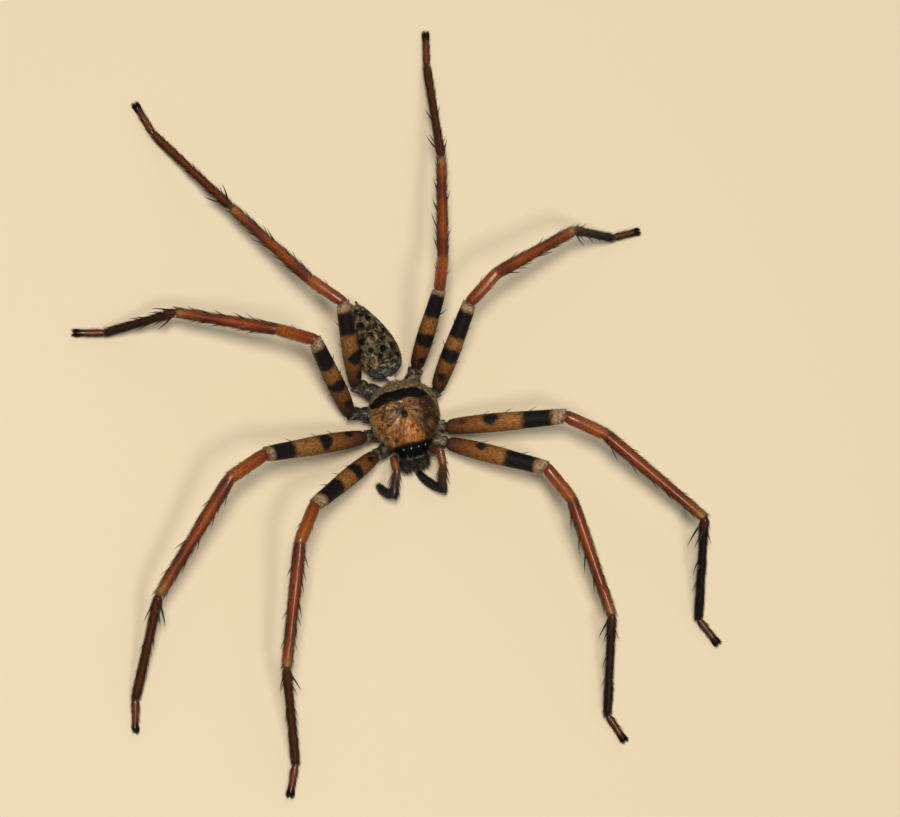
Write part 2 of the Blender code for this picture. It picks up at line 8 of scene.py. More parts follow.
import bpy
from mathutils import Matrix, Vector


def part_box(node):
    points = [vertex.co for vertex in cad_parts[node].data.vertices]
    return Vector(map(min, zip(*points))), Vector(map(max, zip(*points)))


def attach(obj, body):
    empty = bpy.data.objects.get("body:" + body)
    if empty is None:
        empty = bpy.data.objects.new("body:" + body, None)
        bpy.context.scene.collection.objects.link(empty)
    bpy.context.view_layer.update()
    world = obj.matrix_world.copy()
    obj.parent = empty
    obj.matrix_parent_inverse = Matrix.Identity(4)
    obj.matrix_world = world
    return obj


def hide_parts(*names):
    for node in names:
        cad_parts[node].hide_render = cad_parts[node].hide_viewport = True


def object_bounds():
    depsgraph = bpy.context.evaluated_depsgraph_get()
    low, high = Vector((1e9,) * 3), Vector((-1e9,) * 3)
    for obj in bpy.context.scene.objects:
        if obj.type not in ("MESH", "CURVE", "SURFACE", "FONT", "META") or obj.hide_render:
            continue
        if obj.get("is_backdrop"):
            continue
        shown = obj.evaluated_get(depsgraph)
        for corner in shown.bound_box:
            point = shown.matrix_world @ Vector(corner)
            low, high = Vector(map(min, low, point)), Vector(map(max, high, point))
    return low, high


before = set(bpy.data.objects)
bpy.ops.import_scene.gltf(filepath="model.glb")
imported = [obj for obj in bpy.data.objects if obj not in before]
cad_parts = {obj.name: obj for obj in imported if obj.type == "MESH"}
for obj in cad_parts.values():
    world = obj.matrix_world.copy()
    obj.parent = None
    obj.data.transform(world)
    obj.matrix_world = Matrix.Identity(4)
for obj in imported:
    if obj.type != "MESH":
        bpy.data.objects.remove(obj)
cad_low, cad_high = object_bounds()
print("solid nodes:", len(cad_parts))

# %% [markdown]
# ## Tools of the lesson
#
# A spider is small, so sizes are written in millimetres and turned into metres once, when a mesh
# is made. Colours are written as the hex values that a paint program shows. Blender works in
# linear light, so one function turns them over.

# %% Modules and units
import math
import random

import bpy
import numpy as np
from mathutils import Matrix, Vector

MM = 0.001
UP = np.array((0.0, 0.0, 1.0))
BODY = "root"


def linear(hex_text):
    """A hex colour as linear red, green, blue and alpha."""
    channels = [int(hex_text[i : i + 2], 16) / 255 for i in (0, 2, 4)]
    bent = [c / 12.92 if c <= 0.04045 else ((c + 0.055) / 1.055) ** 2.4 for c in channels]
    return (*bent, 1.0)


print("mid grey in linear light:", round(linear("808080")[0], 3))

# %% [markdown]
# Both materials and Geometry Nodes are trees of nodes. One small function adds any node: it sets
# the properties, stores plain values in the sockets, links other nodes' outputs to them, and
# hands back the output that is read. A table says what each kind of node is called in Blender.

# %% Kinds of node
# For each kind: Blender's name, what is given in order (a property or a socket), the output that
# is read, and the settings that stay the same. A number stands for a socket that shares its name
# with others. Where several outputs are read, the node itself comes back.
KINDS = {
    "field": ("ShaderNodeAttribute", ("attribute_name",), "Fac", {}),
    "field vector": ("ShaderNodeAttribute", ("attribute_name",), "Vector", {}),
    "coordinates": ("ShaderNodeTexCoord", (), "Object", {}),
    "mapping": ("ShaderNodeMapping", ("Vector", "Scale"), "Vector", {}),
    "noise": ("ShaderNodeTexNoise", ("Vector", "Scale", "Detail", "Roughness"), "Fac", {}),
    "ramp": ("ShaderNodeValToRGB", ("Fac",), "Color", {}),
    "step": ("ShaderNodeMapRange", (0, 1, 2), 0, {"interpolation_type": "SMOOTHSTEP"}),
    "mix": ("ShaderNodeMix", (0, 6, 7), 2, {"data_type": "RGBA"}),
    "tint": ("ShaderNodeMix", (0, 6, 7), 2, {"data_type": "RGBA", "blend_type": "MULTIPLY"}),
    "bump": ("ShaderNodeBump", ("Height", "Distance", "Strength"), "Normal", {}),
    "maths": ("ShaderNodeMath", ("operation", 0, 1, 2), 0, {}),
    "vector maths": ("ShaderNodeVectorMath", ("operation", 0, 1), "Vector", {}),
    "scaled vector": ("ShaderNodeVectorMath", (0, "Scale"), "Vector", {"operation": "SCALE"}),
    "split": ("ShaderNodeSeparateXYZ", ("Vector",), None, {}),
    "join": ("ShaderNodeCombineXYZ", ("X", "Y"), "Vector", {}),
    "given": ("NodeGroupInput", (), None, {}),
    "result": ("NodeGroupOutput", ("Geometry",), None, {}),
    "skin value": ("GeometryNodeInputNamedAttribute", ("data_type", "Name"), "Attribute", {}),
    "position": ("GeometryNodeInputPosition", (), "Position", {}),
    "scatter": (
        "GeometryNodeDistributePointsOnFaces",
        ("Mesh", "Density", "Seed"),
        "Points",
        {"distribute_method": "RANDOM"},
    ),
    "points": ("GeometryNodeMeshToPoints", ("Mesh",), "Points", {}),
    "cone": (
        "GeometryNodeMeshCone",
        ("Vertices", "Side Segments", "Radius Top", "Radius Bottom", "Depth"),
        None,
        {"fill_type": "NGON"},
    ),
    "store": (
        "GeometryNodeStoreNamedAttribute",
        ("data_type", "domain", "Geometry", "Name", "Value"),
        "Geometry",
        {},
    ),
    "move": ("GeometryNodeSetPosition", ("Geometry", "Offset"), "Geometry", {}),
    "random vector": (
        "FunctionNodeRandomValue",
        ("Min", "Max", "Seed"),
        "Value",
        {"data_type": "FLOAT_VECTOR"},
    ),
    "random number": ("FunctionNodeRandomValue", (2, 3, "Seed"), 1, {"data_type": "FLOAT"}),
    "align": ("FunctionNodeAlignRotationToVector", ("axis", "Vector", "Rotation"), "Rotation", {}),
    "set out": (
        "GeometryNodeInstanceOnPoints",
        ("Points", "Instance", "Rotation", "Scale"),
        "Instances",
        {},
    ),
    "make real": ("GeometryNodeRealizeInstances", ("Geometry",), "Geometry", {}),
    "shade smooth": ("GeometryNodeSetShadeSmooth", ("Geometry",), "Geometry", {}),
    "set material": ("GeometryNodeSetMaterial", ("Geometry", "Material"), "Geometry", {}),
}
print("kinds of node:", len(KINDS))

# %% [markdown]
# The function looks a kind up in the table. A hex colour that is given to a colour socket is
# turned to linear light on the way.

# %% A function that adds any node
def add(tree, kind, *values, **settings):
    """Adds a node with its settings, fills or links what is given, and returns its output."""
    blender_name, slots, output, fixed = KINDS[kind]
    node = tree.nodes.new(blender_name)
    for name, value in {**fixed, **settings}.items():
        setattr(node, name, value)
    for slot, value in zip(slots, values):
        if isinstance(slot, str) and hasattr(node, slot):
            setattr(node, slot, value)
        elif isinstance(value, bpy.types.NodeSocket):
            tree.links.new(value, node.inputs[slot])
        else:
            is_colour = node.inputs[slot].type == "RGBA"
            node.inputs[slot].default_value = linear(value) if is_colour else value
    return node if output is None else node.outputs[output]


def fill_ramp(output, stops):
    """Gives a colour ramp its stops, as (position, hex colour) pairs."""
    elements = output.node.color_ramp.elements
    while len(elements) > 1:
        elements.remove(elements[-1])
    elements[0].position = stops[0][0]
    elements[0].color = linear(stops[0][1])
    for position, colour in stops[1:]:
        elements.new(position).color = linear(colour)
    return output


print("a node can be added")

# %% [markdown]
# ## The camera
#
# The photograph looks down on the spider, leaning 14 degrees towards its head and its right side,
# and the animal lies turned by 15 degrees in the picture. The body's scale and the way that the
# far feet draw together give a distance of 0.7 m and a long lens. A camera's own axes are columns
# of its matrix: right, up, and backwards.

# %% Camera
# The photo's size and the lens are in pixels, the target and the distance in millimetres.
IMAGE_SIZE = (900, 817)
FOCAL_PIXELS = 2756.0
CAMERA_TARGET = (18.19, -2.24, 0.0)
CAMERA_DISTANCE = 700.0
CAMERA_TOWARDS = (-0.22, -0.12, 1.0)
CAMERA_ROLL = 15.0


def unit(vector):
    """The vector at length one."""
    vector = np.asarray(vector, float)
    return vector / np.linalg.norm(vector)


def make_camera():
    """The camera at the photograph's angle, distance and framing."""
    data = bpy.data.cameras.new("camera")
    data.sensor_width = 36.0
    data.lens = FOCAL_PIXELS * data.sensor_width / IMAGE_SIZE[0]
    data.clip_start = 0.05
    data.dof.use_dof = False
    camera = bpy.data.objects.new("camera", data)
    bpy.context.scene.collection.objects.link(camera)
    back = unit(CAMERA_TOWARDS)
    roll = math.radians(CAMERA_ROLL)
    right = unit(np.cross((math.sin(roll), math.cos(roll), 0.0), back))
    up = np.cross(back, right)
    place = (np.array(CAMERA_TARGET) + back * CAMERA_DISTANCE) * MM
    matrix = Matrix.Identity(4)
    for column, axis in enumerate((right, up, back, place)):
        for row in range(3):
            matrix[row][column] = axis[row]
    camera.matrix_world = matrix
    bpy.context.scene.camera = camera
    return camera


camera = make_camera()
print("lens in mm:", round(camera.data.lens, 1))

# %% [markdown]
# ## The measures of the animal
#
# These are the driving sizes of the solid model, in millimetres. Places on the body are counted
# from where the midline crosses the middle of the head shield's dome; the head points along -Y
# and the spider's left is +X. A leg is a chain: hip, femur, patella, tibia, metatarsus, tarsus.

# %% Leg measures
BODY_PLACE = (4.76, -1.91, 0.0)
SEGMENT_LENGTHS = {
    1: (26.3, 9.8, 31.1, 25.9, 7.8),
    2: (30.4, 10.7, 33.5, 27.1, 7.9),
    3: (24.6, 9.8, 26.0, 19.8, 7.5),
    4: (22.8, 9.9, 27.8, 29.4, 9.0),
}
LEG_STOUTNESS = {1: 1.0, 2: 1.04, 3: 0.98, 4: 0.94}
HIP_STOUTNESS = {1: 1.0, 2: 1.0, 3: 1.08, 4: 1.2}
# Where the hip ends, the headings of the five lengths, and how steeply the first three rise.
LEG_POSES = {
    "L1": ((9.0, -9.4, 6.5), (-32, -65, -83, -103, -70), (22, 1, -11)),
    "L2": ((9.7, -5.4, 6.5), (-11, -39, -52, -102, -65), (19, 5, -7)),
    "L3": ((9.8, 4.1, 6.7), (58, 34, 17, -7, 2), (31, 18, -14)),
    "L4": ((6.2, 10.9, 6.6), (64, 65, 74, 79, 76), (41, -23, -10)),
    "R1": ((-9.6, -8.3, 6.4), (-154, -127, -109, -95, -114), (32, 6, -14)),
    "R2": ((-11.0, -3.1, 6.4), (180, -159, -135, -115, -105), (26, 11, -15)),
    "R3": ((-13.0, 3.6, 6.1), (111, 146, 154, 178, 166), (40, -21, -15)),
    "R4": ((-9.7, 10.2, 6.4), (91, 130, 120, 118, 106), (33, -6, -14)),
}
HIP_ROOTS = {1: (4.3, -6.6, 4.9), 2: (4.8, -2.7, 4.8), 3: (4.8, 1.4, 4.8), 4: (3.1, 5.4, 4.9)}
ANKLE_HEIGHT = 1.7
TOE_HEIGHT = 0.9
# Half widths along each length, as (share of the length, half width). The skin lies a little
# inside the solid, which leaves room for the short hair.
HIP_OUTLINE = (
    (0, 1.5),
    (0.2, 1.66),
    (0.42, 1.78),
    (0.6, 1.62),
    (0.68, 1.3),
    (0.76, 1.5),
    (0.9, 1.58),
    (1, 1.4),
)
FEMUR_OUTLINE = ((0, 1.6), (0.07, 1.86), (0.22, 2.17), (0.45, 2.27), (0.72, 2.03), (0.93, 1.84), (1, 1.66))
PATELLA_OUTLINE = ((0, 1.48), (0.18, 1.6), (0.5, 1.58), (0.85, 1.45), (1, 1.3))
TIBIA_OUTLINE = ((0, 1.29), (0.07, 1.36), (0.25, 1.28), (0.6, 1.13), (0.95, 1.03), (1, 0.95))
METATARSUS_OUTLINE = ((0, 0.88), (0.05, 0.95), (0.16, 0.86), (0.55, 0.78), (0.96, 0.76), (1, 0.7))
TARSUS_OUTLINE = ((0, 0.64), (0.1, 0.7), (0.45, 0.66), (0.8, 0.68), (0.93, 0.74), (1, 0.34))
print("legs:", ", ".join(LEG_POSES))

# %% [markdown]
# The pose is worked out as the solid model does it. Each length heads where the table says, and
# the last two come down by themselves, so that every foot ends on the ground.

# %% Where the joints are
def at(place):
    """A place on the body, in millimetres from the origin."""
    return np.array(place, float) + np.array(BODY_PLACE)


def mirrored(place, side):
    """A place given for the left side, on the side asked for."""
    return (place[0] if side == "L" else -place[0], *place[1:])


def heading(degrees, rise=0.0):
    """The unit vector that points that way."""
    turn, lift = math.radians(degrees), math.radians(rise)
    return np.array((math.cos(lift) * math.cos(turn), math.cos(lift) * math.sin(turn), math.sin(lift)))


def leg_points(name):
    """The seven joints of a leg, from the root of its hip to the tip of its toe."""
    base, headings, rises = LEG_POSES[name]
    pair = int(name[1])
    points = [at(mirrored(HIP_ROOTS[pair], name[0])), at(base)]
    for index, length in enumerate(SEGMENT_LENGTHS[pair]):
        if index < 3:
            rise = rises[index]
        else:
            goal = ANKLE_HEIGHT if index == 3 else TOE_HEIGHT
            rise = math.degrees(math.asin((goal - points[-1][2]) / length))
        points.append(points[-1] + heading(headings[index], rise) * length)
    return points


for leg_name in LEG_POSES:
    print(leg_name, "toe at", leg_points(leg_name)[-1].round(1))

# %% [markdown]
# ## Skins from rings
#
# A spider's body and limbs are tubes that swell and narrow. The plain way to make such a shape
# is a loft: rings of points, joined with faces. A modifier could do the same, but with numpy
# each point can also carry facts about its place, such as how far along the leg it is. They are
# stored as attributes, and the materials and the hair read them later. The map named unwrap
# unrolls each skin by its own shape.

# %% A loft with attributes and an unwrap
def smooth(value):
    """A soft step from 0 to 1 while the value goes from 0 to 1."""
    value = np.clip(value, 0.0, 1.0)
    return value * value * (3 - 2 * value)


def hump(value, width):
    """A bump that is 1 at value 0 and fades over the width."""
    return np.exp(-((value / width) ** 2))


def outline_at(outline, share):
    """The smooth half width of an outline at a share of its length."""
    xs, ys = np.array(outline, float).T
    slopes = np.gradient(ys, xs)
    k = int(np.clip(np.searchsorted(xs, share, side="right") - 1, 0, len(xs) - 2))
    span = xs[k + 1] - xs[k]
    t = min(max((share - xs[k]) / span, 0.0), 1.0)
    blend = t * t * (3 - 2 * t)
    leave = t * (1 - t) ** 2 * span * slopes[k]
    arrive = t * t * (t - 1) * span * slopes[k + 1]
    return ys[k] + (ys[k + 1] - ys[k]) * blend + leave + arrive


def loft(name, rings, fields):
    """A closed mesh through rings of points given in millimetres, with fields as attributes."""
    rings = np.asarray(rings, float) * MM
    count, sides = rings.shape[:2]
    centres = rings.mean(1)
    steps = np.concatenate([[0.0], np.cumsum(np.linalg.norm(np.diff(centres, axis=0), axis=1))])
    steps = 0.01 + 0.98 * steps / steps[-1]
    points = np.concatenate([rings.reshape(-1, 3), centres[:1], centres[-1:]])
    first_tip, last_tip = count * sides, count * sides + 1
    faces, unwrap = [], []
    for i in range(count - 1):
        for k in range(sides):
            j = (k + 1) % sides
            near, far = i * sides, (i + 1) * sides
            faces.append((near + k, far + k, far + j, near + j))
            low, high = k / sides, (k + 1) / sides
            unwrap += [(steps[i], low), (steps[i + 1], low), (steps[i + 1], high), (steps[i], high)]
    for k in range(sides):
        j = (k + 1) % sides
        low, high = k / sides, (k + 1) / sides
        faces.append((k, j, first_tip))
        unwrap += [(steps[0], low), (steps[0], high), (0.0, low)]
        last = (count - 1) * sides
        faces.append((last + j, last + k, last_tip))
        unwrap += [(steps[-1], high), (steps[-1], low), (1.0, low)]
    mesh = bpy.data.meshes.new(name)
    mesh.from_pydata(points.tolist(), [], faces)
    mesh.uv_layers.new(name="unwrap").data.foreach_set("uv", np.array(unwrap, np.float32).ravel())
    for field, values in fields.items():
        values = np.asarray(values, float)
        size = 3 if values.ndim == 3 else 1
        flat = values.reshape(-1, size)
        tips = [flat[:sides].mean(0, keepdims=True), flat[-sides:].mean(0, keepdims=True)]
        flat = np.concatenate([flat, *tips])
        kind = "FLOAT_VECTOR" if size == 3 else "FLOAT"
        attribute = mesh.attributes.new(field, kind, "POINT")
        attribute.data.foreach_set("vector" if size == 3 else "value", flat.astype(np.float32).ravel())
    if signed_volume(mesh) < 0:
        mesh.flip_normals()
    mesh.shade_smooth()
    return mesh


def signed_volume(mesh):
    """The volume inside a closed mesh, below zero where its faces point inwards."""
    mesh.calc_loop_triangles()
    points = np.zeros(len(mesh.vertices) * 3)
    mesh.vertices.foreach_get("co", points)
    corners = np.zeros(len(mesh.loop_triangles) * 3, int)
    mesh.loop_triangles.foreach_get("vertices", corners)
    a, b, c = points.reshape(-1, 3)[corners.reshape(-1, 3)].transpose(1, 0, 2)
    return float(np.einsum("ij,ij->i", a, np.cross(b, c)).sum() / 6)


def add_piece(name, mesh, material):
    """A mesh as a named piece of the spider, riding on its one body."""
    mesh.materials.clear()
    mesh.materials.append(material)
    piece = bpy.data.objects.new(name, mesh)
    bpy.context.scene.collection.objects.link(piece)
    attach(piece, BODY)
    return piece


print("loft is ready")

# %% [markdown]
# ## Jointed limbs
#
# On the real animal each length of a leg is a hard glossy tube. At a joint the tube ends in a
# fine rim, and a pale soft skin joins it to the narrower start of the next length. One mesh for
# the whole leg shows this with no gaps: the rings lean halfway at a bend, as a mitred pipe does,
# and the half width dips at each joint. Ring by ring, the function also notes the place along
# the leg, the side of the leg and the way that a hair should lie.

# %% Rings along a jointed limb
RIM_WIDTH = 0.3
# The narrow ring of soft skin at a joint, and how far its folds reach, in millimetres.
SOFT_RING = 0.1
FOLD_REACH = 0.34
# How much the soft skin is drawn in below, as a share of the half width.
FOLD_DEPTH = 0.14
# The bead before each rim: its distance back from the joint, its width and its height.
BEAD_PLACE, BEAD_WIDTH, BEAD_HEIGHT = 0.5, 0.22, 0.35
# For each joint from the hip outwards: how narrow it is, and the length of the flare behind it.
LEG_JOINTS = ((0.84, 0.9), (0.91, 0.6), (0.98, 0.6), (0.94, 0.6), (0.95, 0.5))
FINE_STEPS = (0.12, 0.25, 0.4, 0.56, 0.75, 1.0, 1.35, 1.75)
COARSE_STEP = 0.5


def axes_of(direction):
    """The level and the upright vector across a direction."""
    side = unit(np.cross(direction, UP))
    return side, np.cross(side, direction)


def stations(length):
    """Distances along one length, set close together near its two joints."""
    fine = [t for t in FINE_STEPS if t < length / 2 - 0.2]
    inner = np.arange(fine[-1] + COARSE_STEP, length - fine[-1] - COARSE_STEP * 0.6, COARSE_STEP)
    return [*fine, *inner, *(length - t for t in reversed(fine)), length]


def limb(points, outlines, sides, joints=LEG_JOINTS):
    """The rings of a limb, with its fields: segment, top, flank, fold, along and out."""
    directions = [unit(b - a) for a, b in zip(points, points[1:])]
    lengths = [float(np.linalg.norm(b - a)) for a, b in zip(points, points[1:])]
    narrow = []
    for before, after, (dip, _) in zip(outlines, outlines[1:], joints):
        narrow.append(min(outline_at(before, 1.0), outline_at(after, 0.0)) * dip)
    angles = 2 * np.pi * (np.arange(sides) + 0.5) / sides
    across, upward = np.cos(angles), np.sin(angles)
    rings = []
    fields = {key: [] for key in ("segment", "top", "flank", "fold", "along", "out")}
    for i, (start, direction, length) in enumerate(zip(points, directions, lengths)):
        side, up = axes_of(direction)
        first = [0.0] if i == 0 else []
        for t in first + stations(length):
            half = outline_at(outlines[i], t / length)
            fold, tilt, plane = 0.0, 0.0, direction
            for joint, away in ((i - 1, t), (i, length - t)):
                if joint < 0 or joint >= len(narrow):
                    continue
                if joint == i:
                    rise = smooth((away - SOFT_RING) / RIM_WIDTH)
                    bead = hump(away - BEAD_PLACE, BEAD_WIDTH)
                    half *= 1 + BEAD_HEIGHT * (1 - joints[joint][0]) * bead
                else:
                    rise = smooth((away - 0.12) / joints[joint][1])
                half = narrow[joint] + (half - narrow[joint]) * rise
                soft = min(1.0, (1 - joints[joint][0]) * 12)
                fold = max(fold, float(smooth(1 - away / FOLD_REACH)) * soft)
                bend = math.acos(float(np.clip(directions[joint].dot(directions[joint + 1]), -1, 1))) / 2
                reach = max(2.2 * half, 1.2 * half * bend / math.cos(bend) ** 2)
                if away < reach:
                    tilt = float(smooth(1 - away / reach))
                    plane = unit(directions[joint] + directions[joint + 1])
            centre = start + direction * t
            out = side * across[:, None] + up * upward[:, None]
            offsets = out * half
            offsets *= (1 - FOLD_DEPTH * fold * np.clip(-upward, 0, 1))[:, None]
            if tilt > 0:
                normal = unit(direction * (1 - tilt) + plane * tilt)
                slide = -(offsets @ normal) / direction.dot(normal)
                slide = np.clip(slide, -1.3 * half, 1.3 * half)
                offsets = offsets + slide[:, None] * direction
            rings.append(centre + offsets)
            fields["segment"].append(np.full(sides, i + t / length))
            fields["top"].append(upward)
            fields["flank"].append(across)
            fields["fold"].append(np.full(sides, fold))
            fields["along"].append(np.tile(direction, (sides, 1)))
            fields["out"].append(out)
    return np.array(rings), {key: np.array(value) for key, value in fields.items()}


def scaled(outline, factor):
    """An outline made stouter or slimmer."""
    return tuple((share, half * factor) for share, half in outline)


test_rings, _ = limb(leg_points("L1"), [HIP_OUTLINE] * 6, 8)
print("rings along one leg:", len(test_rings))

# %% [markdown]
# ## Hair and spines
#
# A spider is never bare. Fine hairs lie along every limb, a dense brush sits under each foot,
# and stout spines stand out from the legs. They repeat thousands of times, so Geometry Nodes
# make them: points are scattered over the skin, a thin cone is set on each, turned the way that
# the skin's own attribute says, and made real. The tree keeps the skin's attributes, so a hair
# on a black mark is black too. Each hair also gets a tiny patch of the map OFBake, at the place
# of its root on the skin's own unwrap.

# %% A tree that grows hairs
# The side of the patch that each hair gets, as a share of the whole map.
PATCH_SIZE = 0.003


def bristle_tree(name, scattered):
    """A node tree that grows hairs over a skin, or sets spines on the points it is given."""
    tree = bpy.data.node_groups.new(name, "GeometryNodeTree")
    tree.interface.new_socket("Geometry", in_out="INPUT", socket_type="NodeSocketGeometry")
    for label, kind, start in (
        ("Sides", "NodeSocketInt", 3),
        ("Steps", "NodeSocketInt", 3),
        ("Thickness", "NodeSocketFloat", 0.05),
        ("Bend", "NodeSocketFloat", 0.2),
        ("Spread", "NodeSocketFloat", 0.2),
        ("Length Spread", "NodeSocketFloat", 0.3),
        ("Seed", "NodeSocketInt", 1),
        ("Material", "NodeSocketMaterial", None),
    ):
        socket = tree.interface.new_socket(label, in_out="INPUT", socket_type=kind)
        if start is not None:
            socket.default_value = start
    tree.interface.new_socket("Geometry", in_out="OUTPUT", socket_type="NodeSocketGeometry")
    given = add(tree, "given").outputs
    if scattered:
        density = add(tree, "skin value", "FLOAT", "hair_density")
        roots = add(tree, "scatter", given["Geometry"], density, given["Seed"])
    else:
        roots = add(tree, "points", given["Geometry"])

    # One cone of unit length, bent towards its own X axis and marked from root to tip.
    cone = add(tree, "cone", given["Sides"], given["Steps"], 0.0, given["Thickness"], 1.0).outputs
    place = add(tree, "position")
    height = add(tree, "split", place).outputs["Z"]
    squared = add(tree, "maths", "MULTIPLY", height, height)
    bow = add(tree, "join", add(tree, "maths", "MULTIPLY", squared, given["Bend"]))
    # Each ring also swells by its height, so the cone becomes a thorn with full sides.
    swell = add(tree, "scaled vector", place, height)
    swell = add(tree, "vector maths", "MULTIPLY", swell, (1.0, 1.0, 0.0))
    marked = add(tree, "store", "FLOAT", "POINT", cone["Mesh"], "tip", height)
    bent = add(tree, "move", marked, add(tree, "vector maths", "ADD", bow, swell))

    # The way that each bristle points: the skin's own lie, with a random share.
    stray = add(tree, "random vector", (-1.0, -1.0, -1.0), (1.0, 1.0, 1.0), given["Seed"])
    stray = add(tree, "scaled vector", stray, given["Spread"])
    aim = add(tree, "vector maths", "ADD", add(tree, "skin value", "FLOAT_VECTOR", "hair_lie"), stray)
    turned = add(tree, "align", "Z", aim)
    bend = add(tree, "skin value", "FLOAT_VECTOR", "hair_bend")
    turned = add(tree, "align", "X", bend, turned, pivot_axis="Z")

    # The length of each bristle: the skin's own value, with a random share.
    low = add(tree, "maths", "SUBTRACT", 1.0, given["Length Spread"])
    high = add(tree, "maths", "ADD", 1.0, given["Length Spread"])
    # The lengths draw from a seed of their own, apart from the one that scatters and turns.
    seed = add(tree, "maths", "ADD", given["Seed"], 7.0)
    factor = add(tree, "random number", low, high, seed)
    length = add(tree, "maths", "MULTIPLY", factor, add(tree, "skin value", "FLOAT", "hair_length"))
    real = add(tree, "make real", add(tree, "set out", roots, bent, turned, length))

    # The patch of the map: the root's place, and inside it the cone's own small map.
    middle = add(tree, "vector maths", "SUBTRACT", cone["UV Map"], (0.5, 0.5, 0.0))
    small = add(tree, "scaled vector", middle, PATCH_SIZE)
    patch = add(tree, "vector maths", "ADD", add(tree, "skin value", "FLOAT_VECTOR", "unwrap"), small)
    mapped = add(tree, "store", "FLOAT2", "CORNER", real, "OFBake", patch)
    add(tree, "result", add(tree, "set material", add(tree, "shade smooth", mapped), given["Material"]))
    return tree


GROW_HAIRS = bristle_tree("grow hairs", True)
SET_SPINES = bristle_tree("set spines", False)
print("nodes in the hair tree:", len(GROW_HAIRS.nodes))

# %% [markdown]
# A modifier holds the tree while it works. Its inputs are set by each socket's identifier before
# the object is looked at for the first time. The result is then turned into a plain mesh, and
# the helper object and its modifier go away.

# %% Run a tree on a mesh
def grown(name, tree, mesh, material, values):
    """The bristles that a tree makes from a mesh, as a mesh of their own."""
    host = bpy.data.objects.new(name + "_host", mesh)
    bpy.context.scene.collection.objects.link(host)
    modifier = host.modifiers.new("bristles", "NODES")
    modifier.node_group = tree
    values = {**values, "Material": material}
    for item in tree.interface.items_tree:
        if item.in_out == "INPUT" and item.name in values:
            modifier[item.identifier] = values[item.name]
    graph = bpy.context.evaluated_depsgraph_get()
    made = bpy.data.meshes.new_from_object(host.evaluated_get(graph))
    made.name = name
    bpy.data.objects.remove(host, do_unlink=True)
    return made


def add_coat(name, skin, material, slot, **values):
    """A coat of hair over a skin, as a piece of its own."""
    named_values = {key.replace("_", " "): value for key, value in values.items()}
    mesh = grown(name, GROW_HAIRS, skin, material, named_values)
    piece = add_piece(name, mesh, material)
    print(name, len(mesh.polygons), "faces")


print("ready to grow hair")

# %% [markdown]
# ## Leg finishes
#
# The legs are hard chitin: brown, tanned and see-through at the surface, with a waxy gloss. The
# femur is tan with black marks and a pale end; patella and tibia are glossy red-brown with two
# darker rings; the last lengths are almost black on some legs. A ramp along the leg gives the
# ground colour. Noise shifts the place that the ramp reads, so no ring is ruled with a compass.

# %% Stops along a leg
SEGMENTS = 6
LEG_STOPS = (
    (0.0, "5A4C3E"),
    (0.6, "7E6E5E"),
    (0.95, "564434"),
    (1.02, "4A2C16"),
    (1.12, "70421A"),
    (1.3, "965C24"),
    (1.6, "AE7636"),
    (1.89, "B07C44"),
    (1.94, "C8AE8A"),
    (1.98, "BCA684"),
    (2.0, "5E1C0C"),
    (2.05, "80360A"),
    (2.86, "AA560C"),
    (2.99, "9C520E"),
    (3.03, "6A2A0A"),
    (3.12, "903F08"),
    (3.3, "A24C0A"),
    (3.7, "8E3C06"),
    (3.88, "9C4E10"),
    (3.96, "B07C44"),
    (3.99, "521A0A"),
    (4.02, "441A0A"),
    (4.1, "743A10"),
    (4.95, "744016"),
    (5.0, "341608"),
    (5.12, "8C4C1C"),
    (5.6, "84461A"),
    (5.8, "4C2A14"),
    (5.88, "0E0907"),
)
# The wax along the leg, as (share of the whole leg, grey): light grey is a thick layer.
WAX_STOPS = (
    (0.0, "B0B0B0"),
    (0.17, "303030"),
    (0.33, "303030"),
    (0.36, "B4B4B4"),
    (0.66, "CCCCCC"),
    (0.7, "303030"),
    (0.82, "303030"),
    (0.84, "D0D0D0"),
)
print("leg colour stops:", len(LEG_STOPS), "wax stops:", len(WAX_STOPS))

# %% [markdown]
# Every finish of this lesson is laid up in layers, as paint is: a ground, and over it one colour
# after another, each where a cover says. Most covers are patches of noise with soft edges.

# %% Noise, patches and layers
def object_noise(tree, scale, detail=3.0, roughness=0.55, stretch=None):
    """Noise in the space of the piece: scale is how many blots lie in a metre."""
    coordinates = add(tree, "coordinates")
    if stretch:
        coordinates = add(tree, "mapping", coordinates, stretch)
    return add(tree, "noise", coordinates, scale, detail, roughness)


def patches(tree, low, high, *noise):
    """Patches with soft edges, where the noise of the piece rises from low to high."""
    return add(tree, "step", object_noise(tree, *noise), low, high)


def laid_over(tree, ground, cover, share, colour):
    """A colour over the ground, where the cover says and at a share of its full strength."""
    return add(tree, "mix", add(tree, "maths", "MULTIPLY", cover, share), ground, colour)


def streaks_along(tree, along, around):
    """Noise drawn out along a limb: how many streaks lie along it and around it."""
    drawn = add(tree, "mapping", add(tree, "field vector", "unwrap"), (along, around, 1.0))
    return add(tree, "noise", drawn, 1.0, 3.0, 0.6)


def colour_along(tree, stops, last, drift):
    """A ramp along a limb of so many lengths; noise shifts the place that it reads."""
    shift = add(tree, "maths", "MULTIPLY_ADD", object_noise(tree, 900.0), drift, -drift / 2)
    place = add(tree, "maths", "ADD", add(tree, "field", "segment"), shift)
    ramp = add(tree, "ramp", add(tree, "maths", "DIVIDE", place, last))
    return fill_ramp(ramp, [(stop / last, colour) for stop, colour in stops])


print("layers are ready")
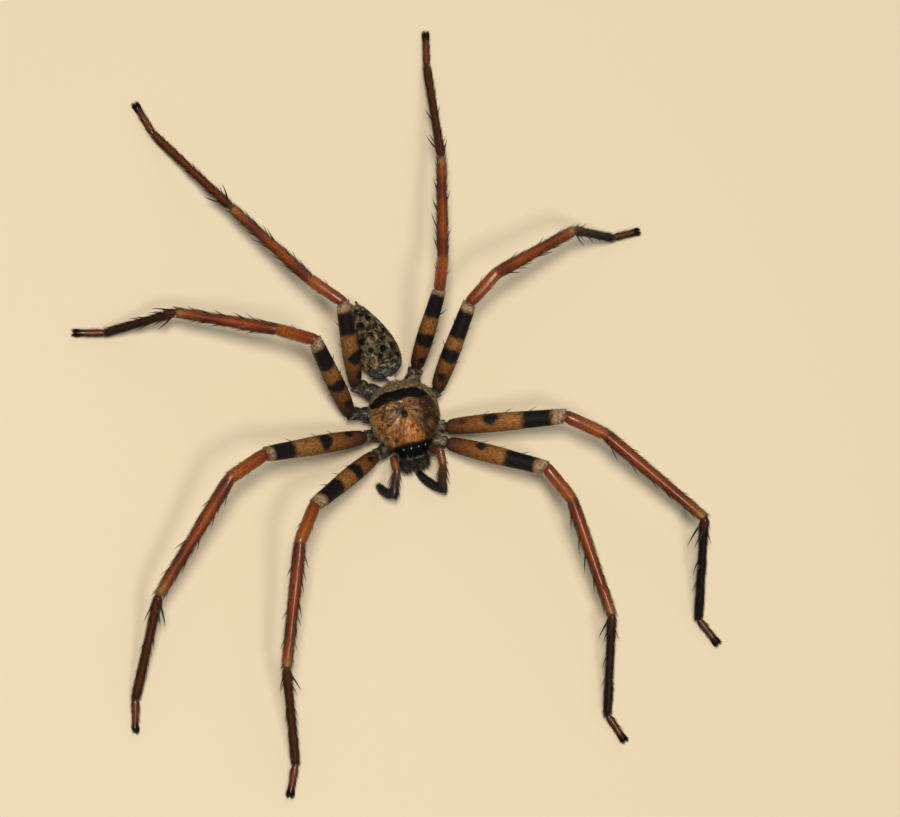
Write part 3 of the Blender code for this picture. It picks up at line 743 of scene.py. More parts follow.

# %% [markdown]
# The layers of the leg follow how it is coloured in life: tanned chitin below, flat hairs and uneven
# tanning over it, then the rings of the tibia, the black marks and the dark last lengths. Over
# all of it lies painted shade on the underside, the femur's flanks and the hips.

# %% Colours of a leg
def leg_colour(tree):
    """The leg's colours, for skin and hair alike."""
    segment = add(tree, "field", "segment")
    ground = colour_along(tree, LEG_STOPS, SEGMENTS, 0.08)
    # Streaks 1 mm long and 0.25 mm wide: flattened hairs lie along the leg and break its colour.
    lines = streaks_along(tree, 130.0, 52.0)
    tone = add(tree, "mix", add(tree, "step", lines, 0.3, 0.68), "9A8C82", "FFFFFF")
    ground = add(tree, "tint", 1.0, ground, tone)
    # Blots of 1 mm that sink the tone, as uneven tanning does.
    ground = laid_over(tree, ground, patches(tree, 0.52, 0.72, 1000.0, 4.0, 0.6), 0.48, "442410")
    # The hips are lumpy grey-brown, with pale and dark patches of 1.3 mm.
    lumps = add(tree, "mix", patches(tree, 0.42, 0.62, 750.0, 5.0, 0.65), "15120E", "A4957F")
    hips = add(tree, "maths", "SUBTRACT", 1.0, add(tree, "step", segment, 0.93, 1.0))
    ground = laid_over(tree, ground, hips, 0.75, lumps)
    # The pale skin of the knee is specked with dark pores.
    knee, shin = add(tree, "step", segment, 1.9, 1.95), add(tree, "step", segment, 1.98, 2.0)
    knee = add(tree, "maths", "SUBTRACT", knee, shin)
    specks = add(tree, "maths", "MULTIPLY", patches(tree, 0.46, 0.6, 1400.0), knee)
    ground = laid_over(tree, ground, specks, 0.7, "4A3424")
    # Two darker rings on the tibia, of thicker chitin.
    ground = add(tree, "mix", add(tree, "field", "ring"), ground, "541C06")
    # The black marks have ragged edges: noise of 1.5 mm and the streaks move the line.
    frayed = add(tree, "maths", "MULTIPLY_ADD", lines, 0.5, object_noise(tree, 650.0, 4.0, 0.6))
    ragged = add(tree, "maths", "MULTIPLY_ADD", frayed, 0.9, add(tree, "field", "mark"))
    ground = add(tree, "mix", add(tree, "step", ragged, 0.25, 1.0), ground, "050302")
    # Near black where the field shade says: the dark last lengths are the leg's own colour, and the rest of
    # it is painted shade.
    return add(tree, "mix", add(tree, "field", "shade"), ground, "120B09")


print("the leg's colours are ready")

# %% [markdown]
# A material needs more than a colour: how rough it is, how much wax lies on it, and its relief.
# Numbers that are the same all over are set on the shader itself, and the rest is linked to it.

# %% Leg chitin
def shader_socket(shader, key):
    """The shader's socket that a plain word such as base_color names."""
    return shader.inputs[key.replace("_", " ").title().replace("Ior", "IOR")]


def new_material(name, **values):
    """A named material and its tree, with constants set on the shader's own sockets."""
    material = bpy.data.materials.new(name)
    material.use_nodes = True
    shader = material.node_tree.nodes["Principled BSDF"]
    for key, value in values.items():
        shader_socket(shader, key).default_value = value
    return material, material.node_tree, shader


def wire(tree, shader, **outputs):
    """Links what the nodes work out to the shader's sockets."""
    for key, output in outputs.items():
        tree.links.new(output, shader_socket(shader, key))


# Sclerotised chitin, tanned and waxed: clear depth under a thin gloss, IOR about 1.55.
leg_chitin, tree, shader = new_material(
    "tanned_leg_chitin", ior=1.55, specular_ior_level=0.2, coat_roughness=0.15
)
# The femur is downy and dull, the lengths after it are bare, and the wax on them shines. It is
# worn off in places and missing on the black marks.
segment = add(tree, "field", "segment")
wax = fill_ramp(add(tree, "ramp", add(tree, "maths", "DIVIDE", segment, SEGMENTS)), WAX_STOPS)
unmarked = add(tree, "maths", "SUBTRACT", 1.0, add(tree, "step", add(tree, "field", "mark"), -0.3, 0.2))
worn = add(tree, "maths", "MULTIPLY", patches(tree, 0.24, 0.46, 800.0), unmarked)
rough = add(tree, "maths", "MULTIPLY_ADD", add(tree, "step", segment, 1.9, 2.1), -0.22, 0.6)
# Fine pores and short flattened hairs, 0.15 mm across, over the streaks.
streaks = streaks_along(tree, 160.0, 60.0)
relief = add(tree, "maths", "MULTIPLY_ADD", object_noise(tree, 6500.0, 2.0), 0.5, streaks)
wire(
    tree,
    shader,
    base_color=leg_colour(tree),
    coat_weight=add(tree, "maths", "MULTIPLY", wax, worn),
    roughness=add(tree, "maths", "MULTIPLY_ADD", object_noise(tree, 2600.0), 0.14, rough),
    normal=add(tree, "bump", relief, 0.05 * MM, 0.6),
)
print("nodes in the leg's material:", len(tree.nodes))

# %% [markdown]
# The hair on the legs wears the same colours, a little darker and with pale tips. The spines
# are solid black-brown horn with a sharp gloss. Both are thin, so a plain rough shader is enough.

# %% Leg hair and spine finishes
def tipped(tree, low, high, root, tip):
    """A colour at the root of a bristle that turns into another towards its tip."""
    return add(tree, "mix", add(tree, "step", add(tree, "field", "tip"), low, high), root, tip)


# Hair of chitin, dull because it is too fine to show a clear glint.
leg_hair, tree, shader = new_material("leg_hair", ior=1.5, roughness=0.6, specular_ior_level=0.12)
own = leg_colour(tree)
dark = add(tree, "mix", 0.5, own, "150D09")
pale = add(tree, "tint", 1.0, own, "F0E0D0")
wire(tree, shader, base_color=tipped(tree, 0.4, 1.0, dark, pale))

# Spines of dark horn, polished by wear.
spine_horn, tree, shader = new_material("black_spine_horn", ior=1.55, roughness=0.32)
horn = tipped(tree, 0.0, 0.25, "3A2012", "0E0908")
wire(tree, shader, base_color=add(tree, "mix", object_noise(tree, 3000.0), horn, "1E120C"))
print("leg hair and spines have their finishes")

# %% [markdown]
# ## The eight legs
#
# The black marks are placed by share of the femur: a wide band before the pale end, a blotch
# nearer the body, and a faint third one, each a little different from leg to leg. The value is
# a distance, positive inside a mark, and the material cuts its edge. Hair length, density and lie
# follow the place too: fringes on the flanks of the thin lengths, a brush under the foot.

# %% Marks of the legs
LEG_SIDES = 36
# The black band before each knee goes all the way round, from one share of the femur to another.
ALL_ROUND = 9.0
KNEE_BANDS = {
    "L1": (0.6, 0.89),
    "L2": (0.645, 0.885),
    "L3": (0.62, 0.91),
    "L4": (0.69, 0.945),
    "R1": (0.625, 0.89),
    "R2": (0.74, 0.94),
    "R3": (0.655, 0.9),
    "R4": (0.63, 0.895),
}
# The other marks of each femur as (start, end, strength, place, reach), from the knee to the body.
# Place is where the mark lies across the leg, from -1 to 1, and reach is its half width.
FEMUR_MARKS = {
    "L1": ((0.3, 0.4, 0.55, -0.4, 0.8),),
    "L2": ((0.32, 0.45, 0.85, -0.4, 1.1), (0.11, 0.17, 0.35, -0.3, 0.6)),
    "L3": ((0.35, 0.5, 1.0, 0.0, 2.1), (0.13, 0.23, 0.55, -0.1, 0.9)),
    "L4": ((0.32, 0.49, 1.0, 0.1, 2.1), (0.09, 0.19, 0.75, 0.4, 1.0)),
    "R1": ((0.315, 0.44, 0.95, 0.0, 1.8), (0.1, 0.18, 0.5, 0.0, 0.7)),
    "R2": ((0.375, 0.5, 1.0, 0.3, 1.7), (0.15, 0.23, 0.65, 0.5, 0.8)),
    "R3": ((0.35, 0.49, 1.0, 0.1, 1.9), (0.12, 0.21, 0.55, 0.1, 0.9)),
    "R4": ((0.275, 0.435, 1.0, 0.35, 1.35), (0.08, 0.18, 0.7, 0.5, 0.9)),
}
# How dark the ground of each femur is, from 0 to 1.
THIGH_DARK = {"L1": 0.06, "L2": 0.02, "L3": 0.2, "L4": 0.28, "R1": 0.12, "R2": 0.16, "R3": 0.3, "R4": 0.24}
# How dark the painted shade on the hips is on each side: those of the right side are darker.
HIPS_PAINTED_SHADE = {"L": 0.1, "R": 0.72}
# How strong the two darker rings of the tibia are.
TIBIA_RINGS = {"L1": 0.25, "L2": 0.2, "L3": 0.55, "L4": 0.8, "R1": 0.5, "R2": 0.6, "R3": 0.65, "R4": 0.85}
# How dark the last two lengths are on each leg, from 0, brown, to 1, black.
ENDS_DARK = {"L1": 0.84, "L2": 1.0, "L3": 1.0, "L4": 0.38, "R1": 0.44, "R2": 0.38, "R3": 0.74, "R4": 0.0}
# How far the leg hair leans out from the skin, in degrees.
HAIR_LEAN = 28.0
# Hairs per square metre, for a density given in hairs per square millimetre.
PER_MM2 = 1e6
# The pad of the foot: distance back from the tip, and how high the sole is there.
SOLE = ((0.0, 0.3), (0.3, 0.14), (1.7, 0.14), (2.4, 0.4))
print("femur marks:", sum(len(marks) for marks in FEMUR_MARKS.values()))

# %% [markdown]
# The fields are worked out for all points of a leg at once. The dressed spider must stay in the
# box of its solids, so hair near a wall of that box is cut shorter.

# %% Fields of a leg
# Room that hair counts on where no wall of the box is near, in millimetres.
FAR_AWAY = 1e9


def inside_box(points, lie, lengths, stray, spread):
    """Hair lengths cut down where the tips would leave the box of the solids."""
    low, high = np.array(cad_low) / MM, np.array(cad_high) / MM
    aim = lie / np.linalg.norm(lie, axis=-1, keepdims=True)
    room = np.full(lengths.shape, FAR_AWAY)
    for axis in range(3):
        for side, wall in ((-1, low[axis]), (1, high[axis])):
            floor_stray = 0.25 if (axis, side) == (2, -1) else 0.0
            towards = np.clip(aim[..., axis] * side + stray + floor_stray, 0.02, 1.1)
            room = np.minimum(room, np.maximum((wall - points[..., axis]) * side, 0.02) / towards)
    return np.minimum(lengths, room / spread)


def leg_fields(name, rings, fields):
    """What the materials and the hair read from a leg: marks, dark tone with painted shade, and the hair's
    own values.
    """
    segment, top, flank = fields["segment"], fields["top"], fields["flank"]
    share = segment - 1
    # How far inside a black mark each point is, below zero outside.
    mark = np.full(segment.shape, -2.0)
    marks = ((*KNEE_BANDS[name], 1.0, 0.0, ALL_ROUND), *FEMUR_MARKS[name])
    for start, end, strength, place, reach in marks:
        inside = ((end - start) / 2 - np.abs(share - (start + end) / 2)) / 0.075
        inside = np.clip(inside, -1.5, 0.9) - 1.6 * ((flank - place) / reach) ** 2
        inside -= smooth(0.2 - top) * (reach < ALL_ROUND)
        mark = np.maximum(mark, np.minimum(inside, 1.35 * strength - 0.45))
    # The rings of the tibia, one below the knee and a wider one past its middle.
    ring = TIBIA_RINGS[name] * np.maximum(hump(segment - 3.12, 0.09), hump(segment - 3.66, 0.12))
    # The dark last lengths, of which the foot is paler.
    shade = ENDS_DARK[name] * smooth((segment - 4.02) / 0.12) * (1 - 0.75 * smooth((segment - 5.0) / 0.05))
    # Painted shade on the underside, darker still beyond the knee.
    underside = smooth(0.2 - top * 1.3) * (0.3 + 0.25 * smooth((segment - 2) / 0.1))
    shade = np.maximum(shade, underside * smooth((segment - 1) / 0.2))
    # The femur, darkest at its root, with painted shade along its flanks; then painted shade on the hip.
    thigh = smooth((1.97 - segment) / 0.1)
    base = hump(segment - 1.02, 0.2) * (segment > 0.97)
    shade = np.maximum(shade, thigh * (THIGH_DARK[name] * (1 + 1.2 * base) + 0.22 * np.abs(flank) ** 3))
    # Painted shade on the hips, far darker on the right side.
    shade = np.maximum(shade, HIPS_PAINTED_SHADE[name[0]] * smooth((1.0 - segment) / 0.12))
    # Where the brush under the foot and the tuft at the toe stand, and where skin is bare.
    foot = smooth((segment - 4.45) / 0.15) * smooth(-top * 2 - 0.3)
    toe = smooth((segment - 5.72) / 0.14)
    bare = smooth(1 - fields["fold"] * 2)
    thin = smooth((segment - 1.95) / 0.1)
    # Hairs per square millimetre: thin down, with fringes on the flanks beyond the knee.
    density = 5.0 - 3.8 * thin + 15.0 * thin * np.abs(flank) ** 2.5 * smooth((segment - 2.4) / 0.6)
    density += 7.0 * smooth((segment - 3.95) / 0.1) + 4.0 * smooth((1.1 - segment) / 0.2)
    density = (density + 26 * foot + 60 * toe) * bare
    # Their length in millimetres: longest in the fringes, short on the femur and the foot.
    length = 0.85 + 0.6 * np.abs(flank) * smooth((segment - 2.8) / 0.5) - 0.3 * foot - 0.35 * toe
    length -= 0.3 * smooth((2.0 - segment) / 0.1)
    # Hair lies along the leg and leans out from it; the brush points down.
    lean = math.radians(HAIR_LEAN)
    lie = fields["along"] * math.cos(lean) + fields["out"] * math.sin(lean)
    lie[..., 2] -= 0.8 * foot
    return {
        "segment": segment,
        "mark": mark,
        "ring": ring,
        "shade": shade,
        "hair_density": density * PER_MM2,
        "hair_length": inside_box(rings, lie, length, 0.3, 1.4) * MM,
        "hair_lie": lie,
        "hair_bend": fields["along"],
    }


print("a leg's fields are ready")

# %% [markdown]
# A foot rests on its pad, so the underside of the last length is pressed flat before the loft is
# made. Then every leg gets its skin.

# %% Leg skins
def set_down(rings, segment, tip):
    """Flattens the underside of a foot into its pad."""
    back = np.linalg.norm((rings - tip)[..., :2].mean(1), axis=-1)[:, None]
    centre = rings.mean(1, keepdims=True)
    under = np.clip((centre - rings)[..., 2] / np.ptp(rings[..., 2], axis=1, keepdims=True) * 2, 0, 1)
    heights = np.interp(back, *np.array(SOLE).T)
    pad = (segment > 5) * smooth((2.6 - back) / 0.6)
    rings = rings.copy()
    rings[..., 2] -= (rings[..., 2] - heights) * pad * under**0.6
    return rings


def make_leg_skin(name):
    """The skin of one leg, from its hip to its toe."""
    pair = int(name[1])
    stout = LEG_STOUTNESS[pair]
    outlines = [scaled(HIP_OUTLINE, HIP_STOUTNESS[pair])]
    for outline in (FEMUR_OUTLINE, PATELLA_OUTLINE, TIBIA_OUTLINE, METATARSUS_OUTLINE, TARSUS_OUTLINE):
        outlines.append(scaled(outline, stout))
    points = leg_points(name)
    rings, fields = limb(points, outlines, LEG_SIDES)
    rings = set_down(rings, fields["segment"], points[-1])
    mesh = loft(f"leg_{name}", rings, leg_fields(name, rings, fields))
    leg = add_piece(f"leg_{name}", mesh, leg_chitin)
    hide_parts(*(f"{part}_{name}" for part in ("hip", "femur", "tibia", "metatarsus", "tarsus")))
    return mesh


leg_skins = {name: make_leg_skin(name) for name in LEG_POSES}
print("faces on one leg:", len(leg_skins["L1"].polygons))

# %% [markdown]
# Now the same skins grow their hair, one coat for each leg.

# %% Leg coats
for index, (name, skin) in enumerate(leg_skins.items()):
    values = {"Steps": 2, "Thickness": 0.021, "Bend": 0.22, "Spread": 0.26, "Seed": 11 + index}
    add_coat(f"leg_hair_{name}", skin, leg_hair, "tarsus_cuticle", **values)

# %% [markdown]
# Spines stand in rows that nearly all spiders of this kind share: three on each side of the
# femur and some on top, pairs along the sides and the underside of tibia and metatarsus. Each
# is a point with a direction and a length of its own, and the second tree sets a cone on it.

# %% Spines in rows
# Share of the length, angle round the leg from the top, length in millimetres, lean.
SPINE_ROWS = {
    1: ((0.3, 68, 2.6, 36), (0.48, 66, 2.8, 38), (0.7, 62, 3.0, 36), (0.38, 0, 2.4, 38), (0.6, 0, 2.6, 38)),
    2: ((0.52, 82, 2.4, 34),),
    3: (
        (0.1, 134, 4.6, 28),
        (0.28, 130, 4.9, 27),
        (0.46, 132, 5.0, 26),
        (0.64, 132, 4.6, 26),
        (0.9, 140, 3.2, 28),
        (0.2, 84, 3.8, 30),
        (0.54, 84, 3.8, 30),
        (0.78, 80, 3.2, 30),
        (0.33, 0, 3.0, 30),
        (0.72, 24, 2.6, 30),
    ),
    4: (
        (0.07, 118, 6.2, 30),
        (0.16, 138, 4.6, 28),
        (0.38, 128, 4.6, 27),
        (0.6, 132, 3.6, 26),
        (0.12, 62, 3.4, 32),
        (0.46, 86, 3.2, 28),
        (0.7, 90, 2.6, 26),
        (0.88, 96, 2.2, 26),
    ),
}
# How far the rows are rolled round each leg, because the legs lie on their sides a little.
SPINE_ROLL = {"L1": -24, "L2": -26, "L3": -8, "L4": 14, "R1": 24, "R2": 22, "R3": -12, "R4": -14}
# Random share of each spine: place along the length, angle, length, and lean.
SPINE_SPREAD = (0.02, 8, 0.14, 4)
SPINE_THICKNESS = 0.042
# Settings of a tree whose bristles point and measure just what their points say.
EXACT = {"Spread": 0.0, "Length Spread": 0.0}
ROW_OUTLINES = {1: FEMUR_OUTLINE, 2: PATELLA_OUTLINE, 3: TIBIA_OUTLINE, 4: METATARSUS_OUTLINE}
print("spine rows:", sum(len(rows) for rows in SPINE_ROWS.values()))

# %% [markdown]
# No two spines of an animal stand quite alike, so each gets a small random share. The chance has
# a fixed seed, so the spider comes out the same every time.

# %% Spines on the legs
def spine_points(points, rows_of, outline_of, stout, chance, roll=0):
    """Root, direction, bend and length of every spine along a limb."""
    roots, aims, bends, lengths, places = [], [], [], [], []
    for index, rows in rows_of.items():
        start, end = points[index], points[index + 1]
        direction = unit(end - start)
        side, up = axes_of(direction)
        for share, angle, length, lean in rows:
            for hand in (-1, 1) if angle else (1,):
                drift = [spread * chance.uniform(-1, 1) for spread in SPINE_SPREAD]
                turn = math.radians(angle + drift[1] + roll * hand)
                tilt = math.radians(lean + drift[3])
                outward = side * (hand * math.sin(turn)) + up * math.cos(turn)
                place = start + (end - start) * (share + drift[0])
                half = outline_at(outline_of[index], share) * stout
                roots.append(place + outward * half * 0.8)
                aims.append(direction * math.cos(tilt) + outward * math.sin(tilt))
                bends.append(direction - outward * 0.4)
                lengths.append(length * (1 + drift[2]))
                places.append(((index + share + drift[0]) / SEGMENTS, (turn * hand / math.tau) % 1.0))
    return roots, aims, bends, lengths, places


def points_mesh(name, roots, aims, bends, lengths, places):
    """Loose points that carry what the tree needs to set a spine on each."""
    mesh = bpy.data.meshes.new(name)
    mesh.from_pydata((np.array(roots) * MM).tolist(), [], [])
    for field, values in (("hair_lie", aims), ("hair_bend", bends)):
        mesh.attributes.new(field, "FLOAT_VECTOR", "POINT").data.foreach_set("vector", np.ravel(values))
    lengths = inside_box(np.array(roots), np.array(aims), np.array(lengths), 0.12, 1.02)
    mesh.attributes.new("hair_length", "FLOAT", "POINT").data.foreach_set("value", lengths * MM)
    flat = np.array([(u, v, 0.0) for u, v in places])
    mesh.attributes.new("unwrap", "FLOAT_VECTOR", "POINT").data.foreach_set("vector", flat.ravel())
    return mesh


def add_spines(name, slot, *facts):
    """A set of spines as one piece."""
    values = {"Sides": 6, "Steps": 5, "Thickness": SPINE_THICKNESS, "Bend": 0.12, "Seed": 3, **EXACT}
    mesh = grown(name, SET_SPINES, points_mesh(name + "_roots", *facts), spine_horn, values)
    piece = add_piece(name, mesh, spine_horn)


chance = random.Random(11)
for name in LEG_POSES:
    stout = LEG_STOUTNESS[int(name[1])]
    facts = spine_points(leg_points(name), SPINE_ROWS, ROW_OUTLINES, stout, chance, SPINE_ROLL[name])
    add_spines(f"leg_spines_{name}", "metatarsus_cuticle", *facts)
print("spines on each leg:", len(facts[0]))

# %% [markdown]
# Each foot ends in two small curved claws, almost hidden in the brush of hair. They are smooth
# dark horn, made with the same tree from two points at the toe.

# %% Claws
CLAW_LENGTH = 1.15
for name in LEG_POSES:
    ankle, toe = leg_points(name)[-2:]
    ahead = unit((toe - ankle) * (1, 1, 0))
    across = np.cross(ahead, UP)
    roots = [toe - ahead * 0.35 + across * hand * 0.24 + UP * 0.3 for hand in (-1, 1)]
    aims = [ahead + across * hand * 0.3 + UP * 0.25 for hand in (-1, 1)]
    facts = (roots, aims, [-UP] * 2, [CLAW_LENGTH] * 2, [(0.98, 0.2), (0.98, 0.3)])
    values = {"Sides": 8, "Steps": 6, "Thickness": 0.13, "Bend": 0.45, **EXACT}
    mesh = grown(f"claws_{name}", SET_SPINES, points_mesh(f"claws_{name}_roots", *facts), spine_horn, values)
    add_piece(f"claws_{name}", mesh, spine_horn)
print("claws on", len(LEG_POSES), "feet")

# %% [markdown]
# ## The head shield
#
# The shield is one domed plate. A short groove marks its middle, where muscles pull on the
# inside, and shallow furrows run from there towards the legs and round the raised head. Its
# edge is rolled. The rings run across the body from the face to the waist, and each point is
# then pushed in where a furrow passes. Its marks are measured from the animal's midline.

# %% Shield measures
# Place along the body, half width, height of the top and height of the rim.
SHIELD_ROWS = (
    (-10.7, 2.5, 8.4, 7.0),
    (-10.2, 3.3, 9.5, 7.1),
    (-8.8, 4.0, 10.6, 7.2),
    (-7.0, 6.1, 11.5, 7.3),
    (-4.2, 8.2, 12.4, 7.4),
    (-0.6, 8.9, 12.8, 7.4),
    (3.0, 8.5, 12.3, 7.4),
    (6.0, 6.6, 10.7, 7.3),
    (7.6, 4.2, 8.9, 7.2),
    (8.4, 2.2, 7.9, 7.0),
)
# The trunk below it: place, half width, height of the breastplate.
TRUNK_ROWS = (
    (-10.7, 1.8, 5.8),
    (-9.6, 2.3, 4.7),
    (-6.5, 3.3, 3.4),
    (-3.0, 4.4, 3.0),
    (3.0, 4.5, 3.0),
    (6.0, 3.6, 3.4),
    (8.0, 2.2, 4.6),
    (8.4, 1.6, 5.2),
)
# Furrows as (start, end, depth, width): the groove, the two round the head, three pairs to the legs.
FURROWS = [((0.0, 0.7), (0.0, 2.6), 0.4, 0.24)]
for hand in (-1, 1):
    FURROWS += [
        ((hand * 0.4, 0.1), (hand * 4.2, -7.4), 0.42, 0.42),
        ((hand * 0.9, 1.0), (hand * 7.3, -3.4), 0.26, 0.42),
        ((hand * 0.9, 1.7), (hand * 7.6, 1.2), 0.26, 0.42),
        ((hand * 0.9, 2.3), (hand * 5.6, 5.0), 0.22, 0.42),
    ]


def rows_at(rows, places):
    """The smooth values of a table of rows at many places along the body."""
    table = np.array(rows, float)
    return [np.array([outline_at(table[:, (0, c)], p) for p in places]) for c in range(1, table.shape[1])]


def distance_to_line(x, y, start, end):
    """How far points in plan are from a straight stretch."""
    (ax, ay), (bx, by) = start, end
    dx, dy = bx - ax, by - ay
    t = np.clip(((x - ax) * dx + (y - ay) * dy) / (dx * dx + dy * dy), 0, 1)
    return np.hypot(x - ax - t * dx, y - ay - t * dy)


print("furrows:", len(FURROWS))

# %% [markdown]
# The marks are fields over the plan: the black crescent that this animal is known by, lying
# across the rear of the shield, the pale edge behind it, the small round spot before the groove,
# and the black face. A positive value is inside the mark.

# %% Shield mesh
SHIELD_STEPS = 130
# In the photo the marks of the shield lie this far to the spider's right of the model's midline.
PATTERN_SHIFT = 0.85
SHIELD_ARC = 72


def shield_marks(x, y):
    """The marks as fields over the plan of the shield, in millimetres from its midline."""
    x = x + PATTERN_SHIFT * smooth((y + 8) / 6)
    ripple = 0.1 * np.sin(x * 1.7 + 0.5)
    outer = 6.15 - 0.0009 * x**4 + ripple
    inner = 3.3 - 0.015 * x * x + 0.22 * np.sin(x * 1.3 - 0.9)
    crescent = np.minimum(np.minimum(outer - y, y - inner), 7.4 - np.abs(x)) / 0.7
    rear_edge = smooth((y - outer + 0.25) / 0.3)
    spot = (0.86 - np.hypot(x, (y + 0.4) * 0.8)) / 0.3
    groove = (0.1 - distance_to_line(x, y, (0.0, 0.3), (0.25, 3.2))) / 0.09
    worn = 1 - np.hypot(x / 3.9, (y + 4.9) / 4.3)
    face = smooth((-7.3 - y - 0.1 * np.sin(x * 5)) / 0.7)
    # The groove is black too, so it counts as a part of the spot.
    return crescent, rear_edge, np.maximum(spot, groove), worn, face


def make_shield():
    """The shield's skin: dome, rolled edge and flat underside."""
    places = np.linspace(SHIELD_ROWS[0][0], SHIELD_ROWS[-1][0], SHIELD_STEPS)
    halves, tops, rims = rows_at(SHIELD_ROWS, places)
    arc = np.linspace(0, np.pi, SHIELD_ARC)
    rings = []
    for place, half, top, rim in zip(places, halves, tops, rims):
        end = min(place - places[0], places[-1] - place)
        pull = 1 - 0.16 * (1 - float(smooth(end / 0.5)))
        x = (half - 0.05) * pull * np.sign(np.cos(arc)) * np.abs(np.cos(arc)) ** 0.9
        z = rim + (top - rim - 0.05) * pull * np.sin(arc) ** 0.85
        edge_x, edge_z = half - 0.05, rim
        under = [(-(edge_x - 0.1), edge_z - 0.22), (-(edge_x - 0.6), edge_z - 0.3)]
        under += [(edge_x - 0.6, edge_z - 0.3), (edge_x - 0.1, edge_z - 0.22)]
        profile = [(a, place, b) for a, b in zip(x, z)] + [(a * pull, place, b) for a, b in under]
        rings.append(profile)
    rings = np.array(rings)
    x, y, z = rings[..., 0], rings[..., 1], rings[..., 2]
    above = smooth((z - rims[:, None]) / 0.8)
    sink = np.zeros_like(x)
    for start, end, depth, width in FURROWS:
        sink = np.maximum(sink, depth * hump(distance_to_line(x, y, start, end), width))
    # The rolled edge stands up a little.
    from_edge = 1 - np.abs(x) / (halves[:, None] + 1e-6)
    sink -= 0.1 * hump(from_edge - 0.03, 0.03)
    rings[..., 2] -= sink * above
    crescent, rear_edge, spot, worn, face = shield_marks(x, y)
    lumps = 0.05 * np.sin(x * 3.1 + y) * np.sin(y * 2.7 - x * 1.3)
    rings[..., 2] += lumps * above
    edge = smooth((np.abs(x) - halves[:, None] + 0.9) / 0.7) * smooth((y + 7.5) / 2)
    edge = np.maximum(edge, rear_edge)
    # Hair lies towards the tail, and on the face it turns over to lie forwards.
    backwards = 0.9 - 1.9 * smooth((-y - 5) / 4)
    lie = np.stack([x * 0.03, backwards, np.full_like(x, 0.42)], -1)
    density = (10 + 22 * face + 18 * edge) * smooth((z - rims[:, None] + 0.3) / 0.3)
    # Pale fringe along the lower edge of the face, which lies over the roots of the jaws.
    brow = smooth((8.15 + 0.12 * np.sin(x * 3.1 + 0.7) - z) / 0.15) * smooth((z - 7.5) / 0.1)
    fringe = smooth((-10.42 - y) / 0.1) * brow
    density += 55 * fringe
    lie[..., 2] -= 0.3 * fringe
    fields = {
        "crescent": np.clip(crescent, -2, 2),
        "spot": np.clip(spot, -2, 2),
        "worn": np.clip(worn, -1, 1),
        "face": face,
        "edge": edge,
        "fringe": fringe,
        "sink": sink,
        # Painted shade over the left flank, behind the face.
        "painted_flank_shade": smooth((x - 0.2) / 4.8) * smooth((y + 9.0) / 2.0),
        "hair_density": density * PER_MM2,
        "hair_length": (0.36 + 0.3 * edge + 0.4 * face + 0.25 * fringe) * MM,
        "hair_lie": lie,
        "hair_bend": np.stack([x * 0.0, np.sign(y + 7.0), x * 0.0], -1),
    }
    return loft("head_shield_skin", rings + np.array(BODY_PLACE), fields)


shield_skin = make_shield()
print("shield faces:", len(shield_skin.polygons))

# %% [markdown]
# The shield's colour changes from orange in the middle of the head to brown at the flanks, in
# streaks that run out from the groove like spokes. The angle round the groove, fed into noise,
# draws such streaks. Short pale down dulls the plate except where it is worn and shines.

# %% Shield finish
GROOVE_PLACE = (BODY_PLACE[0], BODY_PLACE[1] + 1.0)


def spokes(tree, count):
    """Noise drawn out in spokes that run from the groove."""
    split = add(tree, "split", add(tree, "coordinates")).outputs
    dx = add(tree, "maths", "SUBTRACT", split["X"], GROOVE_PLACE[0] * MM)
    dy = add(tree, "maths", "SUBTRACT", split["Y"], GROOVE_PLACE[1] * MM)
    squares = [add(tree, "maths", "MULTIPLY", way, way) for way in (dx, dy)]
    far = add(tree, "maths", "SQRT", add(tree, "maths", "ADD", *squares))
    around = add(tree, "maths", "MULTIPLY", add(tree, "maths", "ARCTAN2", dy, dx), count)
    joined = add(tree, "join", around, add(tree, "maths", "MULTIPLY", far, 260.0))
    return add(tree, "noise", joined, 1.0, 4.0, 0.6)


